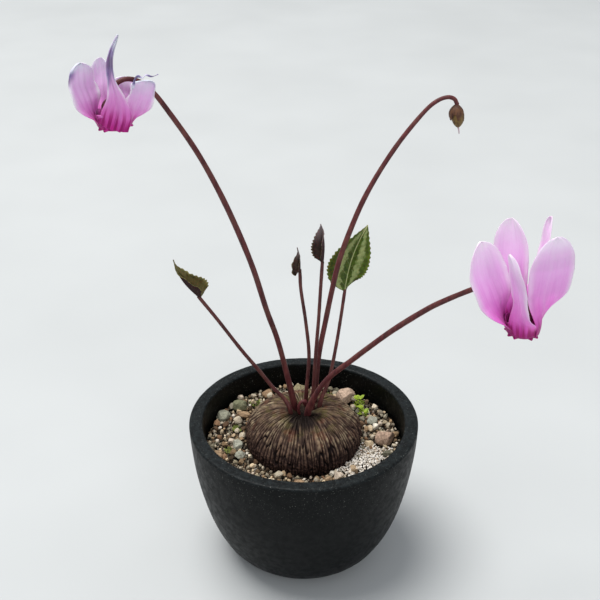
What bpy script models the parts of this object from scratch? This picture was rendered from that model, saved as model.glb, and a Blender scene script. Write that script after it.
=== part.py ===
"""Potted cyclamen: a bare round tuber in a small matt black bowl pot, with nodding flowers.

The model stands on Z = 0 with the pot's axis on the Z axis; +Y points to the back.
Sizes below are in millimetres and are turned into metres where a mesh is made.
"""
import bmesh
import bpy
import math
from mathutils import Vector, noise

MM = 0.001
GAP = 0.3                      # clearance between pieces that touch
FACET_ALLOWANCE = 0.4          # how far a flat facet may stand off its true curve

# Pot: a round bowl with a narrow flat foot
POT_RADIUS = 37.5
POT_HEIGHT = 50.6
FOOT_RADIUS = 15.0
WALL = 4.4
FLOOR = 5.5
FLOOR_RADIUS = 19.0
RIM_ROUND = 0.8
BOWL_RISE = 1.63               # how fast the bowl's wall turns upright
BOWL_BULGE = 2.67              # how full the bowl is near its foot
POT_SIDES = 40
DRAIN_RADIUS = 3.4
DRAIN_CIRCLE = 10.2
DRAIN_COUNT = 3

# Filling
DRAIN_TOP = 12.5               # top of the coarse layer
SOIL_TOP = 40.6
SOIL_SWELL = 0.9
SOIL_WAVES = 0.16              # waves per millimetre of the uneven surface
SOIL_SEED = 8.0

# Tuber: a flattened globe with a dimpled crown
TUBER_RADIUS = 18.8
TUBER_MIDDLE = 44.2
TUBER_UP = 11.2
TUBER_DOWN = 12.0
CROWN_DIMPLE = 3.0
CROWN_WIDTH = 5.0
TUBER_SHOULDER = 0.85          # below 1 the globe's shoulders are fuller than a ball's
TUBER_SIDES = 37               # shares no facet plane with the soil's 40 sides

# Plant parts
FLOWER_STALK = 0.85            # radius of a flower stalk halfway up
LEAF_STALK = 0.62
PETAL_THICK = 0.5
LEAF_THICK = 0.5
MOUTH_RADIUS = 3.9
TUBE_HEIGHT = 6.4
PETAL_ROOT = 4.6               # radius of the ring on which the petals stand
PETAL_ROOT_WIDTH = 2.1         # half width of a petal at its root
PETAL_TIP = 0.12               # half width left at a petal's tip
PETAL_CUP = 0.12               # how far the margins bend back, as a share of the half width

RIGHT_MOUTH = Vector((57.0, -45.0, 109.9))
LEFT_MOUTH = Vector((-49.2, -22.0, 158.0))
POD_TOP = Vector((45.7, 20.6, 150.3))

COLOURS = {
    "pot_black": ((0.035, 0.040, 0.039), 0.45),
    "drainage_grit": ((0.42, 0.38, 0.31), 0.95),
    "potting_grit": ((0.22, 0.17, 0.12), 0.95),
    "tuber_cork": ((0.095, 0.062, 0.040), 0.85),
    "stalk_red": ((0.095, 0.030, 0.030), 0.50),
    "leaf_green": ((0.070, 0.100, 0.020), 0.50),
    "leaf_maroon": ((0.035, 0.016, 0.012), 0.55),
    "petal_pink": ((0.78, 0.31, 0.76), 0.50),
    "corolla_magenta": ((0.17, 0.004, 0.10), 0.50),
    "calyx_brown": ((0.110, 0.055, 0.030), 0.60),
    "anther_yellow": ((0.55, 0.38, 0.08), 0.60),
    "stone_beige": ((0.30, 0.23, 0.16), 0.90),
    "stone_grey": ((0.25, 0.26, 0.22), 0.90),
    "perlite_white": ((0.75, 0.70, 0.62), 0.95),
    "sprout_green": ((0.16, 0.30, 0.03), 0.50),
}


# ---------------------------------------------------------------- helpers

def clear_scene():
    for old in list(bpy.data.objects):
        bpy.data.objects.remove(old)


def material(name):
    found = bpy.data.materials.get(name)
    if found:
        return found
    colour, rough = COLOURS[name]
    made = bpy.data.materials.new(name)
    made.use_nodes = True
    shader = made.node_tree.nodes["Principled BSDF"]
    shader.inputs["Base Color"].default_value = (*colour, 1.0)
    shader.inputs["Roughness"].default_value = rough
    shader.inputs["Metallic"].default_value = 0.0
    return made


def add_object(name, points, faces, finish):
    """One closed mesh from points in millimetres."""
    mesh = bpy.data.meshes.new(name)
    mesh.from_pydata([tuple(c * MM for c in p) for p in points], [], faces)
    tidy = bmesh.new()
    tidy.from_mesh(mesh)
    bmesh.ops.recalc_face_normals(tidy, faces=tidy.faces)
    tidy.to_mesh(mesh)
    tidy.free()
    mesh.shade_smooth()
    mesh.set_sharp_from_angle(angle=math.radians(40))
    mesh.materials.append(material(finish))
    made = bpy.data.objects.new(name, mesh)
    bpy.context.scene.collection.objects.link(made)
    return made


def make_guide(cutter):
    cutter.hide_render = True
    cutter.display_type = "WIRE"


def boolean(target, tool, operation):
    cut = target.modifiers.new(operation.title(), "BOOLEAN")
    cut.operation = operation
    cut.solver = "EXACT"
    cut.object = tool


def smooth(low, high, x):
    t = min(max((x - low) / (high - low), 0.0), 1.0)
    return t * t * (3 - 2 * t)


def lathe(profile, sides, wobble=None):
    """Turns (radius, height) points round Z; the first and last points lie on the axis."""
    points = [(0, 0, profile[0][1])]
    for radius, height in profile[1:-1]:
        for k in range(sides):
            a = 2 * math.pi * k / sides
            r, z = wobble(radius, height, a) if wobble else (radius, height)
            points.append((r * math.cos(a), r * math.sin(a), z))
    points.append((0, 0, profile[-1][1]))
    rings = len(profile) - 2
    faces = []
    for k in range(sides):
        after = (k + 1) % sides
        faces.append((0, 1 + after, 1 + k))
        for ring in range(rings - 1):
            low, high = 1 + ring * sides, 1 + (ring + 1) * sides
            faces.append((low + k, low + after, high + after, high + k))
        top = 1 + (rings - 1) * sides
        faces.append((top + k, top + after, len(points) - 1))
    return points, faces


def spline(stops, step):
    """Points about `step` apart on a Catmull-Rom curve through the stops."""
    stops = [Vector(s) for s in stops]
    ends = [2 * stops[0] - stops[1], *stops, 2 * stops[-1] - stops[-2]]
    out = [stops[0]]
    for i in range(1, len(ends) - 2):
        a, b, c, d = ends[i - 1:i + 3]
        count = max(1, round((c - b).length / step))
        for k in range(1, count + 1):
            t = k / count
            point = 0.5 * (2 * b + (c - a) * t + (2 * a - 5 * b + 4 * c - d) * t * t
                           + (3 * b - a - 3 * c + d) * t ** 3)
            out.append(point)
    return out


def tube(path, radius_at, sides):
    """A round closed tube along the path; radius_at takes the share of the way, 0 to 1."""
    points, faces = [], []
    side = Vector((1, 0, 0))
    for i, p in enumerate(path):
        along = (path[min(i + 1, len(path) - 1)] - path[max(i - 1, 0)]).normalized()
        side = (side - along * side.dot(along)).normalized()
        other = along.cross(side)
        r = radius_at(i / (len(path) - 1))
        for k in range(sides):
            a = 2 * math.pi * k / sides
            points.append(p + (side * math.cos(a) + other * math.sin(a)) * r)
    for i in range(len(path) - 1):
        for k in range(sides):
            after = (k + 1) % sides
            low, high = i * sides, (i + 1) * sides
            faces.append((low + k, low + after, high + after, high + k))
    faces.append(tuple(range(sides)))
    faces.append(tuple(range(len(points) - sides, len(points))))
    return points, faces


def sheet(surface, normal, rows, columns, offsets):
    """A closed thin body between two offsets of a surface: surface(i, j) is a point of it and
    normal(i, j) its face side."""
    points, faces = [], []
    for shift in offsets:
        for i in range(rows):
            for j in range(columns):
                points.append(surface(i, j) + normal(i, j) * shift)
    back = rows * columns
    for i in range(rows - 1):
        for j in range(columns - 1):
            a, b = i * columns + j, i * columns + j + 1
            c, d = (i + 1) * columns + j + 1, (i + 1) * columns + j
            faces.append((a, b, c, d))
            faces.append((back + d, back + c, back + b, back + a))
    border = [(0, j) for j in range(columns)]
    border += [(i, columns - 1) for i in range(1, rows)]
    border += [(rows - 1, j) for j in range(columns - 2, -1, -1)]
    border += [(i, 0) for i in range(rows - 2, 0, -1)]
    ring = [i * columns + j for i, j in border]
    for k, a in enumerate(ring):
        b = ring[(k + 1) % len(ring)]
        faces.append((b, a, back + a, back + b))
    return points, faces


# ---------------------------------------------------------------- pot and filling

def bowl(z, foot, rim, low, high):
    """Radius of the bowl's curve at height z."""
    share = (z - low) / (high - low)
    return foot + (rim - foot) * (1 - (1 - share) ** BOWL_RISE) ** (1 / BOWL_BULGE)


def outer_radius(z):
    return bowl(z, FOOT_RADIUS, POT_RADIUS, 0.0, POT_HEIGHT)


def inner_radius(z):
    return bowl(z, FLOOR_RADIUS, POT_RADIUS - WALL, FLOOR, POT_HEIGHT)


def pot_profile():
    top = POT_HEIGHT
    inside = POT_RADIUS - WALL
    profile = [(0, 0), (FOOT_RADIUS - 0.4, 0)]
    profile += [(outer_radius(z), z) for z in (0.35, 1.2, 2.6, 5, 8.5, 13, 18.5, 25, 33, 42)]
    profile += [(POT_RADIUS - RIM_ROUND * (1 - math.cos(a)), top - RIM_ROUND * (1 - math.sin(a)))
                for a in (0, math.pi / 4, math.pi / 2)]
    profile += [(inside + RIM_ROUND * (1 - math.sin(a)), top - RIM_ROUND * (1 - math.cos(a)))
                for a in (0, math.pi / 4, math.pi / 2)]
    profile += [(inner_radius(z), z) for z in (42, 33, 25, 18.5, 13, 9, 6.8)]
    profile += [(FLOOR_RADIUS, FLOOR), (0, FLOOR)]
    return profile


def add_pot():
    pot = add_object("pot", *lathe(pot_profile(), POT_SIDES), "pot_black")
    for k in range(DRAIN_COUNT):
        a = math.pi / 2 + 2 * math.pi * k / DRAIN_COUNT
        x, y = DRAIN_CIRCLE * math.cos(a), DRAIN_CIRCLE * math.sin(a)
        points, faces = tube([Vector((x, y, -2)), Vector((x, y, FLOOR + 2))],
                             lambda share: DRAIN_RADIUS, 20)
        hole = add_object(f"drain_cutter_{k}", points, faces, "pot_black")
        make_guide(hole)
        boolean(pot, hole, "DIFFERENCE")


def unevenness(x, y, swell, seed):
    return swell * noise.noise(Vector((x * SOIL_WAVES, y * SOIL_WAVES, seed)))


def soil_height(x, y):
    return SOIL_TOP + unevenness(x, y, SOIL_SWELL, SOIL_SEED)


def bumpy(height, swell, seed):
    """A wobble for a turned body whose free surface at `height` is uneven."""
    def wobble(radius, z, angle):
        if abs(z - height) > 0.01:
            return radius, z
        return radius, z + unevenness(radius * math.cos(angle), radius * math.sin(angle), swell, seed)
    return wobble


def add_drainage_layer():
    fit = [(inner_radius(z) - GAP - 0.15, z) for z in (7.0, 9.0, DRAIN_TOP - 0.6)]
    profile = [(0, FLOOR + GAP), (FLOOR_RADIUS - 1.2, FLOOR + GAP), *fit]
    edge = inner_radius(DRAIN_TOP) - 1.2
    profile += [(edge, DRAIN_TOP), (edge * 0.55, DRAIN_TOP), (0, DRAIN_TOP)]
    add_object("drainage_layer", *lathe(profile, 24, bumpy(DRAIN_TOP, 0.7, 3.0)), "drainage_grit")


def add_soil(cutters):
    base = DRAIN_TOP + GAP + 0.7
    profile = [(0, base), (inner_radius(base) - 2.0, base)]
    profile += [(inner_radius(z) - GAP - 0.15, z) for z in (base + 1.0, 18.5, 25, 33)]
    edge = inner_radius(SOIL_TOP) - GAP - 0.2
    profile += [(edge, SOIL_TOP - 0.9)]
    profile += [(edge * share, SOIL_TOP) for share in (0.96, 0.82, 0.66, 0.3)]
    profile += [(0, SOIL_TOP)]
    top = bumpy(SOIL_TOP, SOIL_SWELL, SOIL_SEED)
    soil = add_object("soil", *lathe(profile, POT_SIDES, top), "potting_grit")
    for cutter in cutters:
        make_guide(cutter)
        boolean(soil, cutter, "DIFFERENCE")


# ---------------------------------------------------------------- tuber

def tuber_profile(grow=0.0, rings=15):
    profile = []
    for i in range(rings + 1):
        angle = math.pi * i / rings
        half = TUBER_UP if angle < math.pi / 2 else TUBER_DOWN
        radius = (TUBER_RADIUS + grow) * max(math.sin(angle), 0.0) ** TUBER_SHOULDER
        z = TUBER_MIDDLE + (half + grow) * math.cos(angle)
        if angle < math.pi / 2:
            z -= CROWN_DIMPLE * math.exp(-(radius / CROWN_WIDTH) ** 2)
        profile.append((radius, z))
    profile[0] = (0, profile[0][1])
    profile[-1] = (0, profile[-1][1])
    return profile[::-1]


def crown_height(x, y):
    """Height of the tuber's upper skin over a point."""
    share = min((math.hypot(x, y) / TUBER_RADIUS) ** (1 / TUBER_SHOULDER), 1.0)
    angle = math.asin(share)
    z = TUBER_MIDDLE + TUBER_UP * math.cos(angle)
    return z - CROWN_DIMPLE * math.exp(-(math.hypot(x, y) / CROWN_WIDTH) ** 2)


ROOT_COUNT = 6


def root_path(k):
    a = 2 * math.pi * (k + 0.35) / ROOT_COUNT
    out = Vector((math.cos(a), math.sin(a), 0))
    turn = Vector((-math.sin(a), math.cos(a), 0))
    start = out * 5.0 + Vector((0, 0, TUBER_MIDDLE - TUBER_DOWN + 1.6))
    stops = [start, start + out * 3.0 + Vector((0, 0, -6.0)),
             start + out * 6.5 + turn * (1.5 if k % 2 else -1.5) + Vector((0, 0, -11.5)),
             start + out * 8.5 + turn * (3.0 if k % 2 else -2.0) + Vector((0, 0, -16.0))]
    return spline(stops, 3.0)


def tuber_body(name, grow, finish):
    body = add_object(name, *lathe(tuber_profile(grow), TUBER_SIDES), finish)
    for k in range(ROOT_COUNT):
        path = root_path(k)
        if grow:
            path.append(path[-1] + (path[-1] - path[-2]).normalized() * grow)
        thick = lambda share: 1.15 - 0.7 * share + grow
        root = add_object(f"{name}_root_guide_{k}", *tube(path, thick, 6), finish)
        make_guide(root)
        boolean(body, root, "UNION")
    return body


def add_tuber():
    tuber_body("tuber", 0.0, "tuber_cork")
    return tuber_body("tuber_cavity_guide", GAP, "potting_grit")


# ---------------------------------------------------------------- stones and litter

# name, x, y, centre height, half sizes (x, y, z), turn in degrees, finish
STONES = [
    ("stone_back_centre", -1.2, 23.6, 43.6, (3.0, 2.6, 3.6), 10, "stone_grey"),
    ("stone_back_right", 14.6, 23.6, 43.2, (3.5, 2.9, 2.9), 30, "stone_beige"),
    ("stone_right", 26.9, -0.4, 42.6, (3.6, 3.0, 2.4), -20, "stone_beige"),
    ("stone_back_left", -22.4, 18.6, 42.6, (2.7, 2.4, 2.2), 15, "stone_grey"),
    ("stone_left_long", -20.2, 13.9, 41.8, (2.8, 1.4, 1.4), -12, "stone_beige"),
    ("stone_left_pale", -27.6, 12.8, 42.0, (2.3, 1.9, 1.8), 40, "stone_grey"),
    ("stone_front_left", -27.8, -9.0, 41.8, (1.9, 2.1, 1.8), 0, "stone_beige"),
    ("stone_left_grey", -21.6, -3.4, 41.8, (1.7, 2.2, 1.9), 25, "stone_grey"),
    ("stone_left_grey_low", -20.6, -8.4, 41.5, (1.8, 2.0, 1.6), -30, "stone_grey"),
    ("stone_front_ring", -1.4, -22.7, 41.3, (2.0, 1.7, 1.2), 0, "stone_beige"),
    ("stone_front_small", 7.9, -21.4, 41.6, (1.5, 1.4, 1.5), 20, "stone_beige"),
    ("stone_back_left_small", -12.6, 26.8, 41.8, (2.2, 1.9, 1.7), 0, "stone_beige"),
    ("stone_right_small", 23.4, 10.6, 41.6, (1.9, 1.7, 1.5), 35, "stone_grey"),
]


def pebble(name, place, half, turn, finish, grow=0.0, seed=0.0):
    """A rounded, slightly angular stone."""
    ball = bmesh.new()
    bmesh.ops.create_icosphere(ball, subdivisions=2, radius=1.0)
    a = math.radians(turn)
    points = []
    for v in ball.verts:
        lump = 1 + 0.16 * noise.noise(v.co * 1.3 + Vector((seed, 0, 0)))
        x, y, z = (v.co[i] * (half[i] * lump + grow) for i in range(3))
        points.append((place[0] + x * math.cos(a) - y * math.sin(a),
                       place[1] + x * math.sin(a) + y * math.cos(a), place[2] + z))
    faces = [tuple(v.index for v in f.verts) for f in ball.faces]
    ball.free()
    return add_object(name, points, faces, finish)


def add_stones():
    cutters = []
    for i, (name, x, y, z, half, turn, finish) in enumerate(STONES):
        pebble(name, (x, y, z), half, turn, finish, seed=i * 7.3)
        cutters.append(pebble(name + "_bed", (x, y, z), half, turn, finish, GAP, i * 7.3))
    return cutters


def add_perlite():
    """The low heap of white crumbs beside the tuber, and the bed it lies in."""
    heap = ((21.4, -13.4, 41.2), (6.2, 4.6, 1.7), 38)
    pebble("perlite_patch", *heap, "perlite_white", seed=91.0)
    return pebble("perlite_patch_bed", *heap, "perlite_white", GAP, 91.0)


def add_sprout(name, x, y, height, leaf_length, heading):
    """A seedling: a short stem that carries two small leaves, all one growth."""
    foot = Vector((x, y, soil_height(x, y) + GAP))
    top = foot + Vector((0, 0, height))
    a = math.radians(heading)
    out = Vector((math.cos(a), math.sin(a), 0.55))
    body = add_object(name, *tube(spline([foot, top], 1.5), lambda s: 0.5, 6), "sprout_green")
    for k, sign in enumerate((1, -1)):
        reach = Vector((out.x * sign, out.y * sign, out.z)) * leaf_length
        stops = [top - Vector((0, 0, 0.8)), top + reach * 0.5, top + reach]
        swell = lambda s: 0.35 + 1.15 * math.sin(math.pi * min(s * 0.9 + 0.08, 1.0))
        leaf = add_object(f"{name}_leaf_guide_{k}", *tube(spline(stops, 0.9), swell, 6), "sprout_green")
        make_guide(leaf)
        boolean(body, leaf, "UNION")


# ---------------------------------------------------------------- stalks

# Route stops of each stalk, foot first. The feet stand round the crown's dimple.
FLOWER_STALKS = {
    "flower_stalk_left": [
        (-2.6, 1.2), (-3.2, 1.0, 55.6), (-5.1, 0, 65.9), (-8.2, -2, 81.3), (-11.4, -4, 93.1),
        (-14.9, -7, 108.3), (-19.1, -10, 122.6), (-23.8, -13, 136.1), (-29.2, -16, 148.9),
        (-35.8, -18, 160.6), (-39.4, -18.6, 165.9), (-42.6, -19.4, 168.7), (-45.6, -20.6, 169.6),
        (-48.2, -21.6, 168.4), (-49.2, -22.0, 165.7)],
    "flower_stalk_middle": [
        (3.4, 4.4), (3.6, 4.5, 58.0), (5.0, 4.9, 72.4), (7.0, 6.2, 83.8), (8.9, 8, 93.7),
        (11.1, 10, 103.2), (14.4, 12, 112.6), (18.3, 14, 121.8), (23.3, 16, 130.8),
        (29.3, 18, 139.7), (36.0, 19.8, 147.8), (39.7, 20.4, 151.0), (42.8, 20.7, 152.1),
        (44.9, 20.7, 151.6), (45.7, 20.6, 150.3)],
    "flower_stalk_right": [
        (1.2, -2.6), (1.7, -3.0, 56.2), (4.6, -4.2, 63.8), (8.4, -5.6, 70.2), (14.8, -9, 78.3),
        (18.5, -12, 83.7), (26.0, -18, 94.2), (34.1, -26, 105.4), (38.8, -31, 111.3),
        (44.2, -36, 117.0), (49.5, -39.7, 121.5), (53.2, -42.6, 122.8), (56.1, -44.6, 121.2),
        (57.0, -45.0, 117.6)],
}
LEAF_STALKS = {
    "leaf_stalk_left": [
        (-4.2, -2.4), (-4.7, -2.6, 56.4), (-6.5, -1.8, 59.4), (-9.9, -2, 63.6), (-14.3, -3, 70.9),
        (-19.4, -5, 79.5), (-26.1, -7, 91.3), (-30.7, -8.0, 98.8)],
    "leaf_stalk_back": [
        (0.6, 3.4), (1.0, 3.5, 60.0), (1.7, 4.2, 72.0), (0.6, 5, 84.0), (-0.9, 6, 94.7),
        (-1.2, 6.5, 100.1)],
    "leaf_stalk_centre": [
        (2.9, 1.1), (3.1, 1.1, 59.3), (3.9, 1, 75.8), (4.6, 1, 86.8), (5.1, 1, 97.4),
        (5.5, 1, 105.4)],
    "leaf_stalk_right": [
        (5.1, 1.3), (5.9, 1.9, 57.2), (8.3, 3.6, 63.2), (10.4, 7, 73.2), (12.0, 10.5, 82.6),
        (13.05, 13.1, 89.6)],
}


def stalk_path(stops, step, radius):
    """The stops as points, the foot standing just off the highest skin under it."""
    x, y = stops[0]
    around = [math.pi * k / 4 for k in range(8)]
    skin = max(crown_height(x + radius * math.cos(a), y + radius * math.sin(a)) for a in around)
    return spline([(x, y, skin + GAP + FACET_ALLOWANCE), *stops[1:]], step)


def add_stalks():
    for name, stops in FLOWER_STALKS.items():
        def thick(share):
            return FLOWER_STALK * (1.38 - 0.38 * smooth(0, 0.14, share)) - 0.22 * smooth(0.5, 1, share)
        add_object(name, *tube(stalk_path(stops, 3.4, FLOWER_STALK * 1.38), thick, 8), "stalk_red")
    for name, stops in LEAF_STALKS.items():
        def thick(share):
            return LEAF_STALK * (1.3 - 0.3 * smooth(0, 0.2, share)) - 0.08 * share
        add_object(name, *tube(stalk_path(stops, 3.4, LEAF_STALK * 1.3), thick, 6), "stalk_red")


def add_new_bud():
    """The youngest flower bud, still bowed over on its short stalk between the others."""
    stops = [(-1.3, -0.9), (-1.7, -1.0, 54.6), (-1.2, -0.7, 56.6), (0.0, -0.2, 57.0), (0.7, 0.0, 56.0)]
    def thick(share):
        return 0.5 + 0.28 * smooth(0.62, 0.85, share)
    add_object("new_flower_bud", *tube(stalk_path(stops, 0.8, 0.5), thick, 7), "stalk_red")


# ---------------------------------------------------------------- flowers

# A petal's shape: azimuth of its root, reach of its tip from the axis, sideways sweep,
# height of its tip over the mouth, propeller turn in degrees, full width, and so on.
RIGHT_PETALS = {
    "left": dict(azimuth=185, reach=13.3, height=26.0, turn=60, width=11.8, bow=1.3),
    "back_left": dict(azimuth=115, reach=9.5, height=28.2, turn=60, width=9.8, bow=1.3),
    "back_right": dict(azimuth=55, reach=10.7, height=28.5, turn=62, width=9.8, bow=1.5),
    "right": dict(azimuth=350, reach=5.8, height=27.2, turn=60, width=13.2, belly=0.5),
    "front": dict(azimuth=255, reach=10.4, sweep=-5, height=26.2, turn=60, width=9.5),
}
LEFT_PETALS = {
    "left": dict(azimuth=190, reach=5.6, sweep=-0.8, height=16.0, turn=45, width=8.0, bow=1.3,
                 belly=1.0),
    "back_left": dict(azimuth=120, reach=8.6, sweep=-1, height=15.4, turn=50, width=4.6),
    "back_right": dict(azimuth=62, reach=6.2, height=10.6, turn=-30, width=4.4),
    "right": dict(azimuth=345, reach=8.8, sweep=0.6, height=8.8, turn=40, width=7.4, peak=0.75,
                  blunt=4.0),
    "front": dict(azimuth=262, reach=3.4, sweep=3.3, height=23.8, turn=25, width=4.2, peak=0.35,
                  sway=1.2, belly=1.6),
}


def petal_width(shape, s):
    half, peak = shape["width"] / 2, shape.get("peak", 0.6)
    if s < peak:
        return PETAL_ROOT_WIDTH + (half - PETAL_ROOT_WIDTH) * smooth(0, peak, s)
    share = (s - peak) / (1 - peak)
    return half * max(1 - share ** shape.get("blunt", 2.2), 0.0) ** 0.6 + PETAL_TIP


def petal_spine(shape, s):
    a = math.radians(shape["azimuth"])
    out, turn = Vector((math.cos(a), math.sin(a), 0)), Vector((-math.sin(a), math.cos(a), 0))
    away = PETAL_ROOT + (shape["reach"] - PETAL_ROOT) * (1 - (1 - s) ** shape.get("bow", 1.7))
    away += shape.get("belly", 0.0) * math.sin(math.pi * s)
    aside = shape.get("sweep", 0.0) * s ** 1.5 + shape.get("sway", 0.0) * math.sin(2 * math.pi * s)
    return out * away + turn * aside + Vector((0, 0, shape["height"] * s)), out, turn


def petal_frame(shape, s):
    """Point on the spine, sideways direction and face direction at share s of the length."""
    here, out, turn = petal_spine(shape, s)
    s = min(max(s, 0.001), 0.999)
    along = (petal_spine(shape, s + 0.001)[0] - petal_spine(shape, s - 0.001)[0]).normalized()
    twist = math.radians(shape["turn"]) * smooth(0.02, 0.35, s)
    face = out * math.cos(twist) - turn * math.sin(twist)
    face = (face - along * face.dot(along)).normalized()
    return here, face.cross(along), face


def add_petal(name, mouth, shape, rows=11, columns=5):
    def surface(i, j):
        s, t = i / (rows - 1), 2 * j / (columns - 1) - 1
        here, side, face = petal_frame(shape, s)
        w = petal_width(shape, s)
        return mouth + here + side * w * t - face * PETAL_CUP * w * t * t

    def normal(i, j):
        return petal_frame(shape, i / (rows - 1))[2]

    halves = (PETAL_THICK / 2, -PETAL_THICK / 2)
    add_object(name, *sheet(surface, normal, rows, columns, halves), "petal_pink")


def add_corolla_tube(name, mouth):
    """Short funnel, open below, with its closed end under the calyx."""
    wall = 0.5
    wide, narrow, top = MOUTH_RADIUS, 2.5, TUBE_HEIGHT
    outside = [(wide + (narrow - wide) * smooth(0, 0.8, h), top * h) for h in (0, 0.2, 0.45, 0.75)]
    outside += [(narrow * 0.85, top * 0.93)]
    inside = [(r - wall, z) for r, z in outside[-2::-1]]
    profile = [(0, top - 2 * wall), (narrow * 0.6, top - 2.4 * wall), *inside, *outside, (0, top)]
    points, faces = lathe(profile, 16)
    add_object(name, [mouth + Vector(p) for p in points], faces, "corolla_magenta")


def add_calyx(name, top, height, radius, lobes=5):
    """A cap with pointed lobes, its mouth down, standing over what it covers."""
    wall = 0.45
    notch = 0.36 * height

    def lobe(r, z, a):
        at_the_mouth = abs(z + height) < 0.01
        return r, z + (notch * (1 - math.cos(lobes * a)) / 2 if at_the_mouth else 0)
    profile = [(0, -wall - 0.2), (radius * 0.62 - wall, -wall - 0.55), (radius - wall, -height * 0.5),
               (radius - wall, -height), (radius, -height), (radius, -height * 0.5),
               (radius * 0.7, -0.35), (0, 0)]
    points, faces = lathe(profile, lobes * 4, lobe)
    add_object(name, [top + Vector(p) for p in points], faces, "calyx_brown")


def add_stamens(name, mouth):
    """Cone of anthers round the style, hanging inside the corolla tube."""
    ceiling = TUBE_HEIGHT - 1.0
    profile = [(0, -0.1), (0.28, -0.1), (0.32, 1.2), (0.9, 2.2), (1.25, ceiling - 0.75),
               (0.8, ceiling - 0.45), (0, ceiling - 0.35)]
    points, faces = lathe(profile, 10)
    add_object(name, [mouth + Vector(p) for p in points], faces, "anther_yellow")


def add_flower(side, mouth, petals):
    add_corolla_tube(f"{side}_flower_tube", mouth)
    add_stamens(f"{side}_flower_stamens", mouth)
    add_calyx(f"{side}_flower_calyx", mouth + Vector((0, 0, TUBE_HEIGHT + 1.0)), 3.2, 3.3)
    for place, shape in petals.items():
        add_petal(f"{side}_flower_petal_{place}", mouth, shape)


def add_seed_pod():
    """The spent flower: a swollen pod under its dried calyx, with the style left at its tip."""
    hang = Vector((0.12, -0.03, -1.0)).normalized()
    top = POD_TOP + Vector((0.1, 0, -1.45))
    length = 6.0
    swell = lambda s: 0.35 + 1.45 * math.sin(math.pi * min(0.04 + 0.92 * s, 1.0)) ** 0.9
    path = [top + hang * length * k / 8 for k in range(9)]
    add_object("seed_pod", *tube(path, swell, 10), "calyx_brown")
    style = [path[-1] + hang * (GAP + 1.7 * k / 3) + Vector((0.12 * k, 0, 0)) for k in range(4)]
    add_object("seed_pod_style", *tube(style, lambda s: 0.3 - 0.1 * s, 6), "petal_pink")


# ---------------------------------------------------------------- leaves

# Each leaf runs from base to tip; face is where its upper side looks. The two halves (left,
# right) have their own width and fold towards the face; the midrib bows away from the face
# and aside; lobes are how far the basal lobes reach back, as a share of the length.
LEAVES = {
    "leaf_left": dict(base=(-30.9, -8.05, 99.3), tip=(-38.0, -10.0, 113.2), face=(0.85, -0.35, 0.4),
                      halves=(5.4, 5.6), folds=(62, 68), bow=1.7, aside=0.0, lobes=(-0.10, -0.10)),
    "leaf_back": dict(base=(-1.25, 6.55, 101.2), tip=(-2.1, 7.0, 109.0), face=(-0.9, -0.5, 0.1),
                      halves=(2.0, 2.0), folds=(62, 62), bow=0.4, aside=0.0, lobes=(0.25, 0.05)),
    "leaf_centre": dict(base=(5.6, 1.0, 106.1), tip=(4.9, 1.0, 119.6), face=(-0.8, -0.6, 0.0),
                        halves=(3.9, 3.7), folds=(55, 50), bow=1.0, aside=0.0, lobes=(-0.10, -0.10)),
    "leaf_right": dict(base=(13.1, 13.2, 90.1), tip=(20.1, 16.0, 112.6), face=(-0.10, -1.0, 0.15),
                       halves=(7.2, 7.0), folds=(14, 32), bow=0.8, aside=-1.2, lobes=(0.06, -0.16)),
}
LEAF_PEAK = 0.33
FULL_FOLD_WIDTH = 3.5          # where a half is narrower than this, it folds less
LEAF_TIP = 0.3                 # half width left at the leaf's tip
LOBE_REACH = 0.2               # share of the length over which the basal lobes run


def leaf_width(share, half):
    """Half width of the blade: broad and round at the base, drawn out to the tip."""
    arc = math.sin(math.pi * share ** 0.62)
    return half * arc ** (0.5 if share < LEAF_PEAK else 1.15)


def add_leaf(name, shape, rows=12, columns=4):
    base, tip = Vector(shape["base"]), Vector(shape["tip"])
    along = (tip - base).normalized()
    length = (tip - base).length
    face = Vector(shape["face"])
    face = (face - along * face.dot(along)).normalized()
    side = along.cross(face)

    def spread(i, j):
        """Share of the length, place across (-1 to 1), half width there and that half's direction."""
        share, t = 0.02 + 0.96 * i / (rows - 1), j / columns - 1
        half = 0 if t < 0 else 1
        width = max(leaf_width(share, shape["halves"][half]), LEAF_TIP)
        fold = math.radians(shape["folds"][half]) * smooth(0, FULL_FOLD_WIDTH, width)
        return share, t, width, side * math.copysign(math.cos(fold), t) + face * math.sin(fold)

    def upper(i, j):
        share, t, width, direction = spread(i, j)
        arch = math.sin(math.pi * share)
        lobe = shape["lobes"][0 if t < 0 else 1]
        back = lobe * math.exp(-(share / LOBE_REACH) ** 2) * abs(t) ** 1.2
        rib = base + along * length * (share - back)
        rib += side * shape["aside"] * arch - face * shape["bow"] * arch
        return rib + direction * width * abs(t)

    def normal(i, j):
        _, t, _, direction = spread(i, j)
        if abs(t) < 0.01:
            return face
        return (direction.cross(along) * math.copysign(1, t)).normalized()

    finish = "leaf_green" if name == "leaf_right" else "leaf_maroon"
    add_object(name, *sheet(upper, normal, rows, 2 * columns + 1, (0.0, -LEAF_THICK)), finish)


# ---------------------------------------------------------------- assembly

def main():
    clear_scene()
    add_pot()
    add_drainage_layer()
    beds = [add_tuber(), *add_stones(), add_perlite()]
    add_soil(beds)
    add_sprout("sprout_back", 19.4, 20.2, 2.2, 2.8, 75)
    add_sprout("sprout_front", 20.4, 15.4, 1.4, 3.4, 10)
    add_stalks()
    add_new_bud()
    add_flower("right", RIGHT_MOUTH, RIGHT_PETALS)
    add_flower("left", LEFT_MOUTH, LEFT_PETALS)
    add_calyx("seed_pod_calyx", POD_TOP + Vector((0.1, 0, -0.35)), 3.0, 2.55)
    add_seed_pod()
    for name, shape in LEAVES.items():
        add_leaf(name, shape)


main()
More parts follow.
